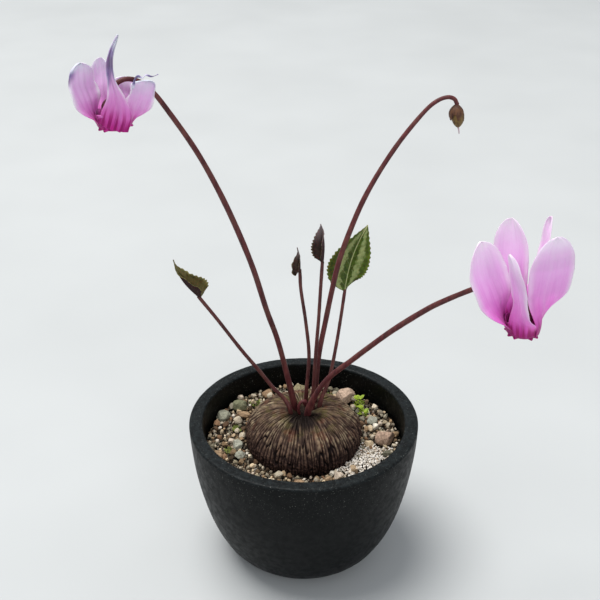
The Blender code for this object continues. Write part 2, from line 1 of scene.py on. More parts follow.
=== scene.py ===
"""Looks of the potted cyclamen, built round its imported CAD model.

Lengths are in millimetres unless a comment says otherwise; add_mesh turns them into metres. Colours
of materials are as seen, 0 to 255, and Finish turns them into the linear light that nodes take.
"""

import math
import random

import bmesh
import bpy
import numpy as np
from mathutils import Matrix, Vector, noise
from mathutils.bvhtree import BVHTree


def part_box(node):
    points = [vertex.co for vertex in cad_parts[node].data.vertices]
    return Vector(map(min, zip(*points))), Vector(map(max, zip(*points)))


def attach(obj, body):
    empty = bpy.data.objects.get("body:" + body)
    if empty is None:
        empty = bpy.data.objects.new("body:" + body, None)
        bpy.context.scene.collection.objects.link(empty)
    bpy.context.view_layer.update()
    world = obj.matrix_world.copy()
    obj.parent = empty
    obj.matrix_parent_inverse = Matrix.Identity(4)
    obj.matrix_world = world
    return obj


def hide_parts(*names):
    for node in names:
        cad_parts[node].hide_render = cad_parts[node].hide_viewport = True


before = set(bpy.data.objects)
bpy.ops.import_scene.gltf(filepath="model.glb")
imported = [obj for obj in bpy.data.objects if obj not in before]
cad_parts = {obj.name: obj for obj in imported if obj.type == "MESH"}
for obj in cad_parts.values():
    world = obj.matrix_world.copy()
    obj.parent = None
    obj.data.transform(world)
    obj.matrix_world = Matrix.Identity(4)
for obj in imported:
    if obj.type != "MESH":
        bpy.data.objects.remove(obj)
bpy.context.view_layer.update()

MM = 0.001
WELD = 1e-6                    # metres; points closer than this are one


def low_high(node):
    """A CAD node's lowest and highest corners in millimetres."""
    return tuple(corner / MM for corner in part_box(node))


def middle_of(node, z):
    """The middle of a CAD node's box in plan, at height z."""
    low, high = low_high(node)
    return Vector(((low.x + high.x) / 2, (low.y + high.y) / 2, z))


def mouth_of(side):
    """The middle of a flower's mouth: the foot of its corolla tube's axis."""
    corolla = f"{side}_flower_tube"
    return middle_of(corolla, low_high(corolla)[0].z)


# Pot: a round bowl with a narrow flat foot
POT_RADIUS = low_high("pot")[1].x
POT_HEIGHT = low_high("pot")[1].z
BOWL_RISE, BOWL_SPREAD = 1.63, 2.67    # exponents of the bowl's curve
FOOT_RADIUS = 15.0
WALL = 4.4
FLOOR = 5.5
FLOOR_RADIUS = 19.0
RIM_ROUND = 0.8
DRAINS = 3
DRAIN_RADIUS = 3.4
DRAIN_CIRCLE = 10.2

# Tuber: a flattened globe with a dimpled crown
TUBER_RADIUS = 18.8
TUBER_MIDDLE = 44.2
TUBER_UP = 11.2
TUBER_DOWN = 12.0
TUBER_BLUNT = 0.85             # below 1 the sides are fuller than an ellipse's
CROWN_DIMPLE = 3.0
CROWN_WIDTH = 5.0
CROWN_SHADE_MIDDLE, CROWN_SHADE_RADIUS = (-0.3, -4.6), 8.0    # middle and radius of the painted shade in the crown's hollow, from which all stalks rise
ROOT_COUNT = 6
CORK_DEPTH = 1.05              # from the deepest fissure to the highest crest
RIDGES = 46                    # half the number of corky ridges round the tuber
CORK_TOP, CORK_TURN, CORK_FOOT = 0.03, 1.95, math.pi - 0.02    # angles from the top; finer above the turn
CORK_ROWS, CORK_FOOT_ROWS = 119, 23
CORK_SIDES = 600

# Plant parts
FLOWER_STALK = 0.85
LEAF_STALK = 0.62
PETAL_ROOT = 4.2               # radius at which the petals leave the mouth
MOUTH_RADIUS = 3.4
TUBE_HEIGHT = 6.4


# ---------------------------------------------------------------- meshes

def smooth(low, high, x):
    """A soft step from 0 at low to 1 at high; low may be the larger of the two."""
    t = min(max((x - low) / (high - low), 0.0), 1.0)
    return t * t * (3 - 2 * t)


def spoke(angle, radius=1.0, height=0.0):
    """The place at this angle, radius and height round the Z axis."""
    return Vector((radius * math.cos(angle), radius * math.sin(angle), height))


def ring_noise(angle, height, around, upward):
    """Noise on a ring, with its own frequency around it and upward."""
    return noise.noise(spoke(angle, around, height * upward))


def add_mesh(name, points, faces, finish, values=None, sharp=None):
    """A mesh from points in millimetres; values holds one number a point under each attribute's name."""
    mesh = bpy.data.meshes.new(name)
    mesh.from_pydata((np.asarray(points, float) * MM).tolist(), [], [list(f) for f in faces])
    for key, numbers in (values or {}).items():
        layer = mesh.attributes.new(key, "FLOAT", "POINT")
        layer.data.foreach_set("value", np.asarray(numbers, np.float32).ravel())
    tidy = bmesh.new()
    tidy.from_mesh(mesh)
    bmesh.ops.recalc_face_normals(tidy, faces=tidy.faces)
    tidy.to_mesh(mesh)
    tidy.free()
    mesh.shade_smooth()
    if sharp:
        mesh.set_sharp_from_angle(angle=math.radians(sharp))
    mesh.materials.append(finish)
    piece = bpy.data.objects.new(name, mesh)
    bpy.context.scene.collection.objects.link(piece)
    return piece


def settle(piece, slot, *nodes):
    """The piece rides on the one body and stands for these CAD nodes, which are hidden; slot is not used."""
    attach(piece, "root")
    if nodes:
        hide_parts(*nodes)
    return piece


def quads(rings, sides, start=0):
    """The faces between rings of points that follow each other from index `start`."""
    faces = []
    for low in range(start, start + (rings - 1) * sides, sides):
        for k in range(sides):
            after = (k + 1) % sides
            faces.append((low + k, low + after, low + sides + after, low + sides + k))
    return faces


def fan(ring, sides, tip):
    """The triangles from the ring that starts at this index to one tip point."""
    return [(ring + k, ring + (k + 1) % sides, tip) for k in range(sides)]


def lathe(profile, sides, wobble):
    """Turns (radius, height) points round Z; the first and last points lie on the axis."""
    points = [(0, 0, profile[0][1])]
    for radius, height in profile[1:-1]:
        for k in range(sides):
            a = 2 * math.pi * k / sides
            r, z = wobble(radius, height, a)
            points.append((r * math.cos(a), r * math.sin(a), z))
    points.append((0, 0, profile[-1][1]))
    rings, end = len(profile) - 2, len(points) - 1
    return points, quads(rings, sides, 1) + fan(1, sides, 0) + fan(end - sides, sides, end)


def spline(stops, step):
    """Points about `step` apart on a Catmull-Rom curve through the stops."""
    stops = [Vector(s) for s in stops]
    ends = [2 * stops[0] - stops[1], *stops, 2 * stops[-1] - stops[-2]]
    out = [stops[0]]
    for i in range(1, len(ends) - 2):
        a, b, c, d = ends[i - 1:i + 3]
        count = max(1, round((c - b).length / step))
        for k in range(1, count + 1):
            t = k / count
            out.append(0.5 * (2 * b + (c - a) * t + (2 * a - 5 * b + 4 * c - d) * t * t
                              + (3 * b - a - 3 * c + d) * t ** 3))
    return out


def tube(path, radius_at, sides):
    """A round closed tube along the path, with domed ends, and each point's share of the way."""
    points, shares = [], []
    side = Vector((1, 0, 0))
    last = len(path) - 1
    for i, p in enumerate(path):
        along = (path[min(i + 1, last)] - path[max(i - 1, 0)]).normalized()
        side = (side - along * side.dot(along)).normalized()
        other = along.cross(side)
        r = radius_at(i / last)
        for k in range(sides):
            a = 2 * math.pi * k / sides
            points.append(p + (side * math.cos(a) + other * math.sin(a)) * r)
            shares.append(i / last)
    faces = quads(len(path), sides)
    for end, inner in ((0, 1), (last, last - 1)):
        dome = (path[end] - path[inner]).normalized() * radius_at(end / last) * 0.5
        faces += fan(end * sides, sides, len(points))
        points.append(path[end] + dome)
        shares.append(end / last)
    return points, faces, shares


def joined(bodies):
    """Several bodies as one; each is its points, its faces and one number a point."""
    points, faces, numbers = [], [], []
    for more, polygons, each in bodies:
        faces += [tuple(i + len(points) for i in polygon) for polygon in polygons]
        points += [tuple(p) for p in more]
        numbers += each
    return points, faces, numbers


def thin_body(grid, thick):
    """A closed thin body round a (rows, columns, 3) grid, as points and faces; the front comes first."""
    rows, columns = grid.shape[:2]
    normal = np.cross(np.gradient(grid, axis=0), np.gradient(grid, axis=1))
    normal /= np.maximum(np.linalg.norm(normal, axis=2, keepdims=True), 1e-9)
    shift = normal * thick[:, :, None] / 2
    points = np.concatenate([(grid + shift).reshape(-1, 3), (grid - shift).reshape(-1, 3)])
    back, faces = rows * columns, []
    for i in range(rows - 1):
        for j in range(columns - 1):
            a, b = i * columns + j, i * columns + j + 1
            c, d = b + columns, a + columns
            faces.append((a, b, c, d))
            faces.append((back + d, back + c, back + b, back + a))
    border = [(0, j) for j in range(columns)]
    border += [(i, columns - 1) for i in range(1, rows)]
    border += [(rows - 1, j) for j in range(columns - 2, -1, -1)]
    border += [(i, 0) for i in range(rows - 2, 0, -1)]
    ring = [i * columns + j for i, j in border]
    for k, a in enumerate(ring):
        b = ring[(k + 1) % len(ring)]
        faces.append((b, a, back + a, back + b))
    return points, faces


def twice(values):
    """One set of numbers for both faces of a thin body."""
    flat = np.asarray(values, float).ravel()
    return np.concatenate([flat, flat])


# ---------------------------------------------------------------- materials

def seen(red, green, blue):
    """A colour as seen, 0 to 255, as the linear light that nodes take."""
    def linear(c):
        c /= 255
        return c / 12.92 if c <= 0.04045 else ((c + 0.055) / 1.055) ** 2.4
    return linear(red), linear(green), linear(blue)


def evenly(*colours):
    """Ramp stops for these colours at even steps."""
    return [(k / (len(colours) - 1), colour) for k, colour in enumerate(colours)]


class Finish:
    """A node material as it is built; each method adds a node and gives its output."""

    def __init__(self, name, roughness=0.6, **constants):
        self.material = bpy.data.materials.new(name)
        self.material.use_nodes = True
        self.tree = self.material.node_tree
        self.shader = self.tree.nodes["Principled BSDF"]
        self.shader.inputs["Roughness"].default_value = roughness
        for socket, value in constants.items():
            self.shader.inputs[socket.replace("_", " ")].default_value = value
        here = self.node("TexCoord", "Object")
        self.place = self.node("VectorMath", 0, {0: here, 3: 1 / MM}, operation="SCALE")

    def node(self, kind, output=0, inputs=None, **settings):
        made = self.tree.nodes.new("ShaderNode" + kind)
        for key, value in settings.items():
            setattr(made, key, value)
        for key, value in (inputs or {}).items():
            if isinstance(value, bpy.types.NodeSocket):
                self.tree.links.new(value, made.inputs[key])
            else:
                made.inputs[key].default_value = value
        return made.outputs[output]

    def noise(self, scale, detail=3.0, rough=0.55, place=None, stretch=None):
        """Noise of about 1/scale millimetres a feature."""
        at = place or self.place
        if stretch:
            at = self.node("VectorMath", 0, {0: at, 1: stretch}, operation="MULTIPLY")
        return self.node("TexNoise", 0, {"Vector": at, "Scale": scale, "Detail": detail,
                                         "Roughness": rough})

    def cells(self, scale):
        """The distance to the nearest of scattered points, about 1/scale millimetres apart."""
        return self.node("TexVoronoi", "Distance", {"Vector": self.place, "Scale": scale})

    def value(self, name):
        """One of the numbers that add_mesh stored at the points."""
        return self.node("Attribute", "Fac", attribute_name=name)

    def pair(self, first, second):
        """Two numbers as a place for a texture."""
        return self.node("CombineXYZ", 0, {0: first, 1: second})

    def math(self, operation, a, b=0.0, clamp=False):
        return self.node("Math", 0, {0: a, 1: b}, operation=operation, use_clamp=clamp)

    def times(self, a, b):
        return self.math("MULTIPLY", a, b)

    def span(self, value, low, high, to_low=0.0, to_high=1.0):
        """A soft step from to_low, where the value is low, to to_high, where it is high."""
        return self.node("MapRange", 0, {0: value, 1: low, 2: high, 3: to_low, 4: to_high},
                         interpolation_type="SMOOTHSTEP")

    def ramp(self, value, stops):
        made = self.tree.nodes.new("ShaderNodeValToRGB")
        self.tree.links.new(value, made.inputs[0])
        for k, (where, colour) in enumerate(stops):
            element = made.color_ramp.elements[k] if k < 2 else made.color_ramp.elements.new(where)
            element.position = where
            element.color = (*seen(*colour), 1)
        return made.outputs[0]

    def mix(self, share, a, b, blend="MIX"):
        def full(colour):
            return (*seen(*colour), 1) if isinstance(colour, tuple) else colour
        return self.node("Mix", 2, {0: share, 6: full(a), 7: full(b)}, data_type="RGBA", blend_type=blend)

    def relief(self, height, depth, strength=1.0, under=None):
        """A bump whose full height stands `depth` millimetres proud."""
        inputs = {"Height": height, "Distance": depth * MM, "Strength": strength}
        if under is not None:
            inputs["Normal"] = under
        return self.node("Bump", 0, inputs)

    def done(self, colour, normal=None, roughness=None):
        for socket, source in (("Base Color", colour), ("Normal", normal), ("Roughness", roughness)):
            if source is not None:
                self.tree.links.new(source, self.shader.inputs[socket])
        return self.material


def pot_finish():
    """Matt black clay: faint clouds, a darker inside that is painted shade and partly damp clay, a slightly
    worn rim, mineral specks near the top.
    """
    f = Finish("pot_black", Specular_IOR_Level=0.12)
    cloud = f.noise(0.11, 5)
    colour = f.ramp(cloud, [(0.30, (3, 5, 6)), (0.55, (7, 9, 10)), (0.75, (12, 14, 15))])
    # The inner wall is painted darker: painted shade inside the pot, partly damp clay.
    colour = f.mix(f.value("inside"), colour, (2, 3, 3))
    height = f.node("SeparateXYZ", 2, {0: f.place})
    rim = f.span(height, POT_HEIGHT - 1.2, POT_HEIGHT - 0.1)
    worn = f.times(rim, f.span(f.noise(0.9, 5, 0.7), 0.38, 0.66, 0.05, 0.6))
    colour = f.mix(worn, colour, (38, 44, 46))
    near_top = f.span(height, 30.0, POT_HEIGHT, 0.08, 0.8)
    specks = f.times(f.span(f.noise(3.2, 2, 0.5), 0.67, 0.73), near_top)
    colour = f.mix(specks, colour, (128, 130, 124))
    rough = f.span(f.noise(0.5, 4, 0.6), 0.3, 0.7, 0.40, 0.58)
    grain = f.relief(f.noise(2.4, 4, 0.65), 0.035, 0.5)
    return f.done(colour, f.relief(cloud, 0.02, 0.3, grain), rough)


def grit_finish(name, stops, speckle=0.5):
    """Gravel: each grain has its own tint, with fine specks over it."""
    f = Finish(name, 0.9, Specular_IOR_Level=0.16)
    colour = f.ramp(f.value("tint"), stops)
    shade = f.ramp(f.noise(1.4, 4, 0.7), [(0.25, (120, 116, 110)), (0.6, (255, 252, 246))])
    colour = f.mix(speckle, colour, shade, "MULTIPLY")
    dots = f.span(f.noise(5.0, 2, 0.5), 0.62, 0.70, 0.0, 0.6)
    colour = f.mix(dots, colour, (62, 54, 46))
    return f.done(colour, f.relief(f.noise(3.5, 5, 0.7), 0.22, 0.8))


def soil_finish():
    """The dark fines that show between the grains."""
    f = Finish("soil_fines", 0.95, Specular_IOR_Level=0.1)
    colour = f.ramp(f.noise(1.6, 5, 0.7), [(0.3, (14, 11, 9)), (0.5, (28, 22, 18)), (0.7, (56, 46, 37))])
    return f.done(colour, f.relief(f.cells(1.1), 0.5))


def tuber_finish():
    """Cork: painted shade in the fissures between paler ridges, pale, mossy and rusty patches on top, and
    painted shade in the crown's hollow.
    """
    f = Finish("tuber_cork", 0.7, Specular_IOR_Level=0.12)
    relief, up = f.value("relief"), f.value("up")

    def patches(cloud, spots, heights, strength):
        """Where the cloud is within its span and the skin is high enough up the tuber."""
        return f.times(f.span(cloud, *spots, 0.0, strength), f.span(up, *heights))

    crest = f.mix(f.span(up, 0.20, 0.75), (84, 63, 56), (118, 97, 80))
    pale = patches(f.noise(0.17, 3), (0.50, 0.64), (0.40, 0.75), 0.75)
    crest = f.mix(pale, crest, (168, 152, 124))
    middle = f.mix(f.span(up, 0.20, 0.80), (42, 29, 28), (57, 42, 36))
    colour = f.mix(f.span(relief, 0.42, 0.86), middle, crest)
    # The deepest fissures are painted near black: painted shade in the recesses between the ridges.
    colour = f.mix(f.span(relief, 0.40, 0.14), colour, (20, 12, 11))
    moss = patches(f.noise(0.30, 4, 0.6), (0.46, 0.62), (0.70, 0.98), 0.55)
    colour = f.mix(moss, colour, (98, 92, 48))
    rust = patches(f.noise(0.22, 3), (0.56, 0.66), (0.4, 0.8), 0.28)
    colour = f.mix(rust, colour, (112, 62, 42))
    # Painted shade in the crown's hollow, where the stalks rise from it.
    colour = f.mix(f.value("crown_shade"), colour, (18, 10, 9))
    flake = f.noise(1.8, 5, 0.7)
    dust = f.ramp(flake, [(0.3, (150, 144, 138)), (0.6, (255, 252, 248))])
    colour = f.mix(0.35, colour, dust, "MULTIPLY")
    return f.done(colour, f.relief(flake, 0.10, 0.7))


def stalk_finish(name, dark, middle, light):
    """Reddish stalk with a faint bloom of very short hairs."""
    f = Finish(name, 0.52, Specular_IOR_Level=0.34, Sheen_Weight=0.05, Sheen_Roughness=0.4)
    f.shader.inputs["Sheen Tint"].default_value = (0.9, 0.55, 0.55, 1)
    streak = f.noise(0.9, 4, 0.6, stretch=(1.0, 1.0, 0.12))
    colour = f.ramp(streak, [(0.28, dark), (0.50, middle), (0.72, light)])
    foot = f.span(f.value("along"), 0.0, 0.05, 0.7, 0.0)
    colour = f.mix(foot, colour, (64, 26, 26))
    blotch = f.span(f.noise(0.25, 2), 0.45, 0.65, 0.0, 0.35)
    colour = f.mix(blotch, colour, (108, 66, 56))
    return f.done(colour, f.relief(f.noise(6.0, 3, 0.7), 0.05, 0.7))


def petal_finish(name, stops, edge, vein, foot, dried, streaked):
    """Petal: a gradient from its dark foot to its pale tip, fine veins, a light margin, dried ends.

    The stops run from foot to tip; `streaked` is how far up the foot's dark streaks reach.
    """
    f = Finish(name, 0.50, Specular_IOR_Level=0.2, Subsurface_Weight=0.35, Subsurface_Scale=0.0016,
               Sheen_Weight=0.10)
    f.shader.inputs["Subsurface Radius"].default_value = (1.0, 0.55, 0.9)
    along, across = f.value("along"), f.value("across")
    wide = f.math("ABSOLUTE", across)
    drift = f.span(f.noise(0.35, 3), 0.2, 0.8, -0.03, 0.03)
    colour = f.ramp(f.math("ADD", along, drift, True), stops)
    grain = f.noise(1.0, 3, 0.5, place=f.pair(f.times(across, 7.0), f.times(along, 1.6)))
    veins = f.times(f.span(grain, 0.46, 0.64, 0.0, 0.30), f.span(along, 0.95, 0.25, 0.15, 1.0))
    colour = f.mix(veins, colour, vein)
    margin = f.times(f.span(wide, 0.62, 1.0, 0.0, 0.85), f.span(along, 0.20, 0.55))
    colour = f.mix(margin, colour, edge)
    corner = f.times(f.span(wide, 0.35, 0.9, 0.05, 0.75), f.span(along, 0.16, 0.02))
    colour = f.mix(corner, colour, foot)
    phase = f.math("ADD", f.times(across, 15.0), f.times(grain, 7.0))
    bands = f.span(f.math("SINE", phase), -0.2, 0.6)
    colour = f.mix(f.times(bands, f.span(along, streaked, 0.04)), colour, foot)
    withered = f.mix(f.span(along, 0.82, 0.93, 0.0, 0.8), dried, (222, 222, 240))
    withered = f.mix(f.span(wide, 0.80, 1.0, 0.0, 0.5), withered, (214, 208, 234))
    knot = f.times(f.span(along, 0.64, 0.70), f.span(along, 0.82, 0.76, 0.0, 0.7))
    withered = f.mix(knot, withered, (92, 88, 112))
    colour = f.mix(f.value("dry"), colour, withered)
    return f.done(colour, f.relief(grain, 0.10, 0.5), f.span(f.noise(1.2, 3), 0.3, 0.7, 0.40, 0.56))


def leaf_finish(name, top, vein, band, underside, edge, marbling, gloss=0.28, bloom=None):
    """Leaf: a mottled top, a marbled band each side of the midrib, pale veins, a brighter edge.

    `marbling` is how strongly the band shows; `bloom` is the dusty colour of the tip, if it has one.
    """
    f = Finish(name, 0.5, Specular_IOR_Level=gloss, Subsurface_Weight=0.08, Subsurface_Scale=0.001)
    wide, rib, under = f.value("across"), f.value("rib"), f.value("under")
    mottle = f.noise(0.8, 4, 0.65)
    colour = f.mix(f.span(mottle, 0.35, 0.65), top, tuple(c * 0.72 for c in top))
    wander = f.times(f.math("SUBTRACT", f.noise(0.75, 3), 0.5), 0.55)
    where = f.math("ADD", wide, wander)
    marble = f.times(f.span(where, 0.22, 0.34), f.span(where, 0.74, 0.52))
    marble = f.times(marble, f.span(mottle, 0.30, 0.58, 0.35 * marbling, marbling))
    colour = f.mix(marble, colour, band)
    colour = f.mix(f.span(wide, 0.82, 1.0, 0.0, 0.6), colour, edge)
    colour = f.mix(f.span(rib, 0.25, 0.95, 0.0, 0.8), colour, vein)
    colour = f.mix(under, colour, underside)
    if bloom:
        colour = f.mix(f.span(f.value("along"), 0.40, 0.95, 0.0, 0.65), colour, bloom)
    height = f.math("ADD", f.times(rib, -0.7), f.times(mottle, 0.5))
    rough = f.math("MAXIMUM", f.span(mottle, 0.3, 0.7, 0.44, 0.58), f.times(under, 0.9))
    return f.done(colour, f.relief(height, 0.25, 0.7), rough)


def plain_plant_finish(name, dark, light, roughness=0.55, feature=1.2, stretch=None):
    """Two colours that mingle in patches of about 1/feature millimetres."""
    f = Finish(name, roughness, Specular_IOR_Level=0.35)
    patch = f.noise(feature, 4, 0.65, stretch=stretch)
    colour = f.ramp(patch, [(0.30, dark), (0.68, light)])
    return f.done(colour, f.relief(f.noise(feature * 3, 4, 0.7), 0.14, 0.7))


def floor_finish():
    """Plain pale grey with hardly any clouds."""
    f = Finish("pale_floor", 0.85, Specular_IOR_Level=0.15)
    colour = f.ramp(f.noise(0.01, 2), [(0.3, (184, 187, 188)), (0.7, (189, 192, 193))])
    return f.done(colour)


# ---------------------------------------------------------------- pot

def bowl(z, foot, rim, low, high):
    """Radius at height z of a bowl that opens from its foot's radius at low to its rim's at high."""
    share = min(max((z - low) / (high - low), 0.0), 1.0)
    return foot + (rim - foot) * (1 - (1 - share) ** BOWL_RISE) ** (1 / BOWL_SPREAD)


def outer_radius(z):
    """Radius of the pot's outside at height z."""
    return bowl(z, FOOT_RADIUS, POT_RADIUS, 0.0, POT_HEIGHT)


def inner_radius(z):
    """Radius of the pot's inside at height z."""
    return bowl(z, FLOOR_RADIUS, POT_RADIUS - WALL, FLOOR, POT_HEIGHT)


def pot_profile():
    """The pot's outline: from under its foot up the outside, over the rim and down to its floor."""
    top, inside = POT_HEIGHT, POT_RADIUS - WALL
    rise = [(k / 52) ** 1.8 for k in range(1, 52)]
    outer = [0.12 + h * (top - 2.2) for h in rise]
    inner = [FLOOR + h * (top - 2.0 - FLOOR) for h in rise[::-2]]
    corner = [(RIM_ROUND * (1 - math.cos(a)), RIM_ROUND * (1 - math.sin(a)))
              for a in [math.pi / 2 * k / 7 for k in range(8)]]
    return [(0, 0), (FOOT_RADIUS * 0.45, 0), (FOOT_RADIUS - 0.6, 0), (FOOT_RADIUS - 0.15, 0.06),
            *[(outer_radius(z), z) for z in outer],
            *[(POT_RADIUS - inward, top - down) for inward, down in corner],
            (inside + WALL * 0.5, top),
            *[(inside + outward, top - down) for down, outward in corner],
            *[(inner_radius(z), z) for z in inner],
            (FLOOR_RADIUS - 0.6, FLOOR), (FLOOR_RADIUS * 0.5, FLOOR), (0, FLOOR)]


def wear(radius, z, angle):
    """Hand-finished clay: the wall is never quite even, and the rim's edges have tiny nicks."""
    radius += 0.10 * ring_noise(angle, z, 4, 0.08) * smooth(0, 4, z)
    if z > POT_HEIGHT - 1.0:
        chip = ring_noise(angle, radius, 21, 0.5)
        z -= 0.22 * max(chip - 0.28, 0.0)
    return radius, z


def add_drain_cutter(k):
    """A round bar through the pot's floor."""
    middle = spoke(math.pi / 2 + 2 * math.pi * k / DRAINS, DRAIN_CIRCLE)
    over = Vector((0, 0, 3))
    path = [middle - over, middle + Vector((0, 0, FLOOR)) + over]
    points, faces, _ = tube(path, lambda share: DRAIN_RADIUS, 48)
    return add_mesh(f"drain_cutter_{k}", points, faces, POT)


def add_pot():
    """The pot, with its drainage holes cut through and the points that meet at the cuts joined."""
    points, faces = lathe(pot_profile(), 192, wear)
    # inside marks the inner wall, where the finish paints shade over partly damp clay.
    inside = [smooth(1.5, 3.5, outer_radius(z) - math.hypot(x, y)) * smooth(POT_HEIGHT, POT_HEIGHT - 1.5, z)
              for x, y, z in points]
    pot = add_mesh("pot_clay", points, faces, POT, {"inside": inside})
    cutters = [add_drain_cutter(k) for k in range(DRAINS)]
    for cutter in cutters:
        cut = pot.modifiers.new("Drain", "BOOLEAN")
        cut.object = cutter
        cut.operation = "DIFFERENCE"
    bpy.context.view_layer.update()
    ready = bpy.data.meshes.new_from_object(pot.evaluated_get(bpy.context.evaluated_depsgraph_get()))
    pot.modifiers.clear()
    for cutter in cutters:
        bpy.data.objects.remove(cutter)
    clean = bmesh.new()
    clean.from_mesh(ready)
    bmesh.ops.remove_doubles(clean, verts=clean.verts, dist=WELD)
    bmesh.ops.dissolve_degenerate(clean, edges=clean.edges, dist=WELD)
    clean.to_mesh(ready)
    clean.free()
    pot.data = ready
    pot.data.set_sharp_from_angle(angle=math.radians(50))
    settle(pot, "pot_black", "pot")


# ---------------------------------------------------------------- stones and grit

def lumps(at, shift, *layers):
    """The sum of these (frequency, height) layers of noise at each point."""
    return np.array([sum(height * noise.noise(Vector(p) * often + shift) for often, height in layers)
                     for p in at])


def with_flats(at, draw, count, distances, cut):
    """A stone's points after flats are worn into it at random distances from its middle."""
    for _ in range(count):
        way = draw.normal(size=3)
        way /= np.linalg.norm(way)
        over = np.maximum(at @ way - draw.uniform(*distances), 0)
        at = at - way * over[:, None] * cut
    return at


def rock(seed, subdivisions, flats=13):
    """A unit stone, lumpy with a few worn flats, as points and triangles."""
    ball = bmesh.new()
    bmesh.ops.create_icosphere(ball, subdivisions=subdivisions, radius=1.0)
    at = np.array([v.co[:] for v in ball.verts])
    faces = np.array([[v.index for v in f.verts] for f in ball.faces])
    ball.free()
    at *= 1 + lumps(at, Vector((seed * 3.1, seed * 1.7, 0)), (1.1, 0.30), (3, 0.10))[:, None]
    return with_flats(at, np.random.default_rng(seed), flats, (0.54, 0.84), 0.92), faces


def turn_matrix(draw):
    """A random rotation."""
    q, r = np.linalg.qr(draw.normal(size=(3, 3)))
    return q * np.sign(np.diag(r))


def pile(name, places, shapes, finish, slot, seed, *nodes):
    """Many grains as one piece: places are (x, y, z, radius)."""
    draw = np.random.default_rng(seed)
    points, faces, tints, start = [], [], [], 0
    for x, y, z, radius in places:
        at, triangles = shapes[draw.integers(len(shapes))]
        size = np.array([1.0, draw.uniform(0.72, 1.0), draw.uniform(0.62, 1.0)]) * radius
        points.append((at * size) @ turn_matrix(draw).T + (x, y, z))
        faces.append(triangles + start)
        tints.append(np.full(len(at), draw.uniform()))
        start += len(at)
    piece = add_mesh(name, np.concatenate(points), np.concatenate(faces), finish,
                     {"tint": np.concatenate(tints)}, sharp=38)
    settle(piece, slot, *nodes)


def surface(*nodes, lowest=0.0):
    """The height of the highest of these CAD nodes over a place, or None where it is under lowest."""
    trees = [BVHTree.FromPolygons([v.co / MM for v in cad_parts[n].data.vertices],
                                  [p.vertices[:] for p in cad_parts[n].data.polygons]) for n in nodes]

    def height(x, y):
        hits = [t.ray_cast(Vector((x, y, 200.0)), Vector((0, 0, -1)))[0] for t in trees]
        return max([h.z for h in hits if h is not None and h.z >= lowest], default=None)
    return height


def thrown(draw, ground, count, radii, lift, spread, inside, outside):
    """Grains thrown on a ring of ground, none nearer than `spread` of the two radii's sum."""
    cell = radii[1] * 2
    grid, grains = {}, []
    for _ in range(count):
        r = math.sqrt(draw.uniform(inside ** 2, outside ** 2))
        a = draw.uniform(0, 2 * math.pi)
        size = radii[0] + (radii[1] - radii[0]) * draw.uniform() ** 2
        x, y = r * math.cos(a), r * math.sin(a)
        if r + size > outside or r - size < inside:
            continue
        z = ground(x, y)
        if z is None:
            continue
        column, row = int(x // cell), int(y // cell)
        near = [g for i in (-1, 0, 1) for j in (-1, 0, 1) for g in grid.get((column + i, row + j), [])]
        if any(math.hypot(x - g[0], y - g[1]) < spread * (size + g[3]) for g in near):
            continue
        grain = (x, y, z + draw.uniform(*lift) * size, size)
        grid.setdefault((column, row), []).append(grain)
        grains.append(grain)
    return grains


GRIT_TINTS = [(0.00, (48, 40, 33)), (0.12, (164, 138, 108)), (0.26, (230, 208, 176)), (0.40, (158, 148, 126)),
              (0.52, (106, 106, 92)), (0.64, (238, 224, 200)), (0.76, (38, 33, 28)), (0.87, (158, 124, 96)),
              (1.00, (252, 246, 232))]
FINES_SHADE = 0.68             # the small grains that show between the larger ones are this much darker: painted shade between the grains, partly damp fines
GRIT_BANK = 1.5                # how much higher the grit stands against the pot's wall
SOIL_LEVEL = 39.2              # a ray that comes down lower than this has met a bed or the cavity


def add_grit():
    """Grains in layers, from a fine bed painted darker, as shade between the grains and partly damp, to
    larger ones, with more banked up at the back.
    """
    draw = np.random.default_rng(5)
    soil = surface("soil", lowest=SOIL_LEVEL)
    named = surface(*[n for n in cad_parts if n.startswith(("stone_", "perlite"))])
    wall = inner_radius(41.0) - 0.25
    neck = TUBER_RADIUS - 0.5

    def ground(x, y):
        z = soil(x, y)
        if z is None or named(x, y) is not None:
            return None
        return z + GRIT_BANK * smooth(wall - 6.0, wall, math.hypot(x, y))

    def back(x, y):
        return ground(x, y) if y > 16 + 0.25 * abs(x) else None

    fine = [rock(s, 2) for s in range(40, 58)]
    larger = [rock(s, 3) for s in range(60, 78)]
    for layer, place, count, radii, lift, spread, clear, shapes, finish, seed in (
            ("bed", ground, 12000, (0.42, 0.80), (-0.2, 0.3), 0.66, 0.0, fine, GRIT_FINES, 21),
            ("middle", ground, 3600, (0.62, 1.30), (0.2, 1.1), 0.80, 0.0, larger, GRIT, 22),
            ("coarse", ground, 260, (1.2, 2.0), (0.5, 0.95), 1.3, 0.4, larger, GRIT, 23),
            ("banked", back, 260, (1.2, 2.1), (0.6, 1.3), 0.85, 2.0, larger, GRIT, 24)):
        grains = thrown(draw, place, count, radii, lift, spread, neck + clear, wall)
        pile(f"grit_{layer}", grains, shapes, finish, "potting_grit", seed)


LARGER_STONES = {"stone_back_centre": 1.3, "stone_left_pale": 1.1}     # times their CAD size


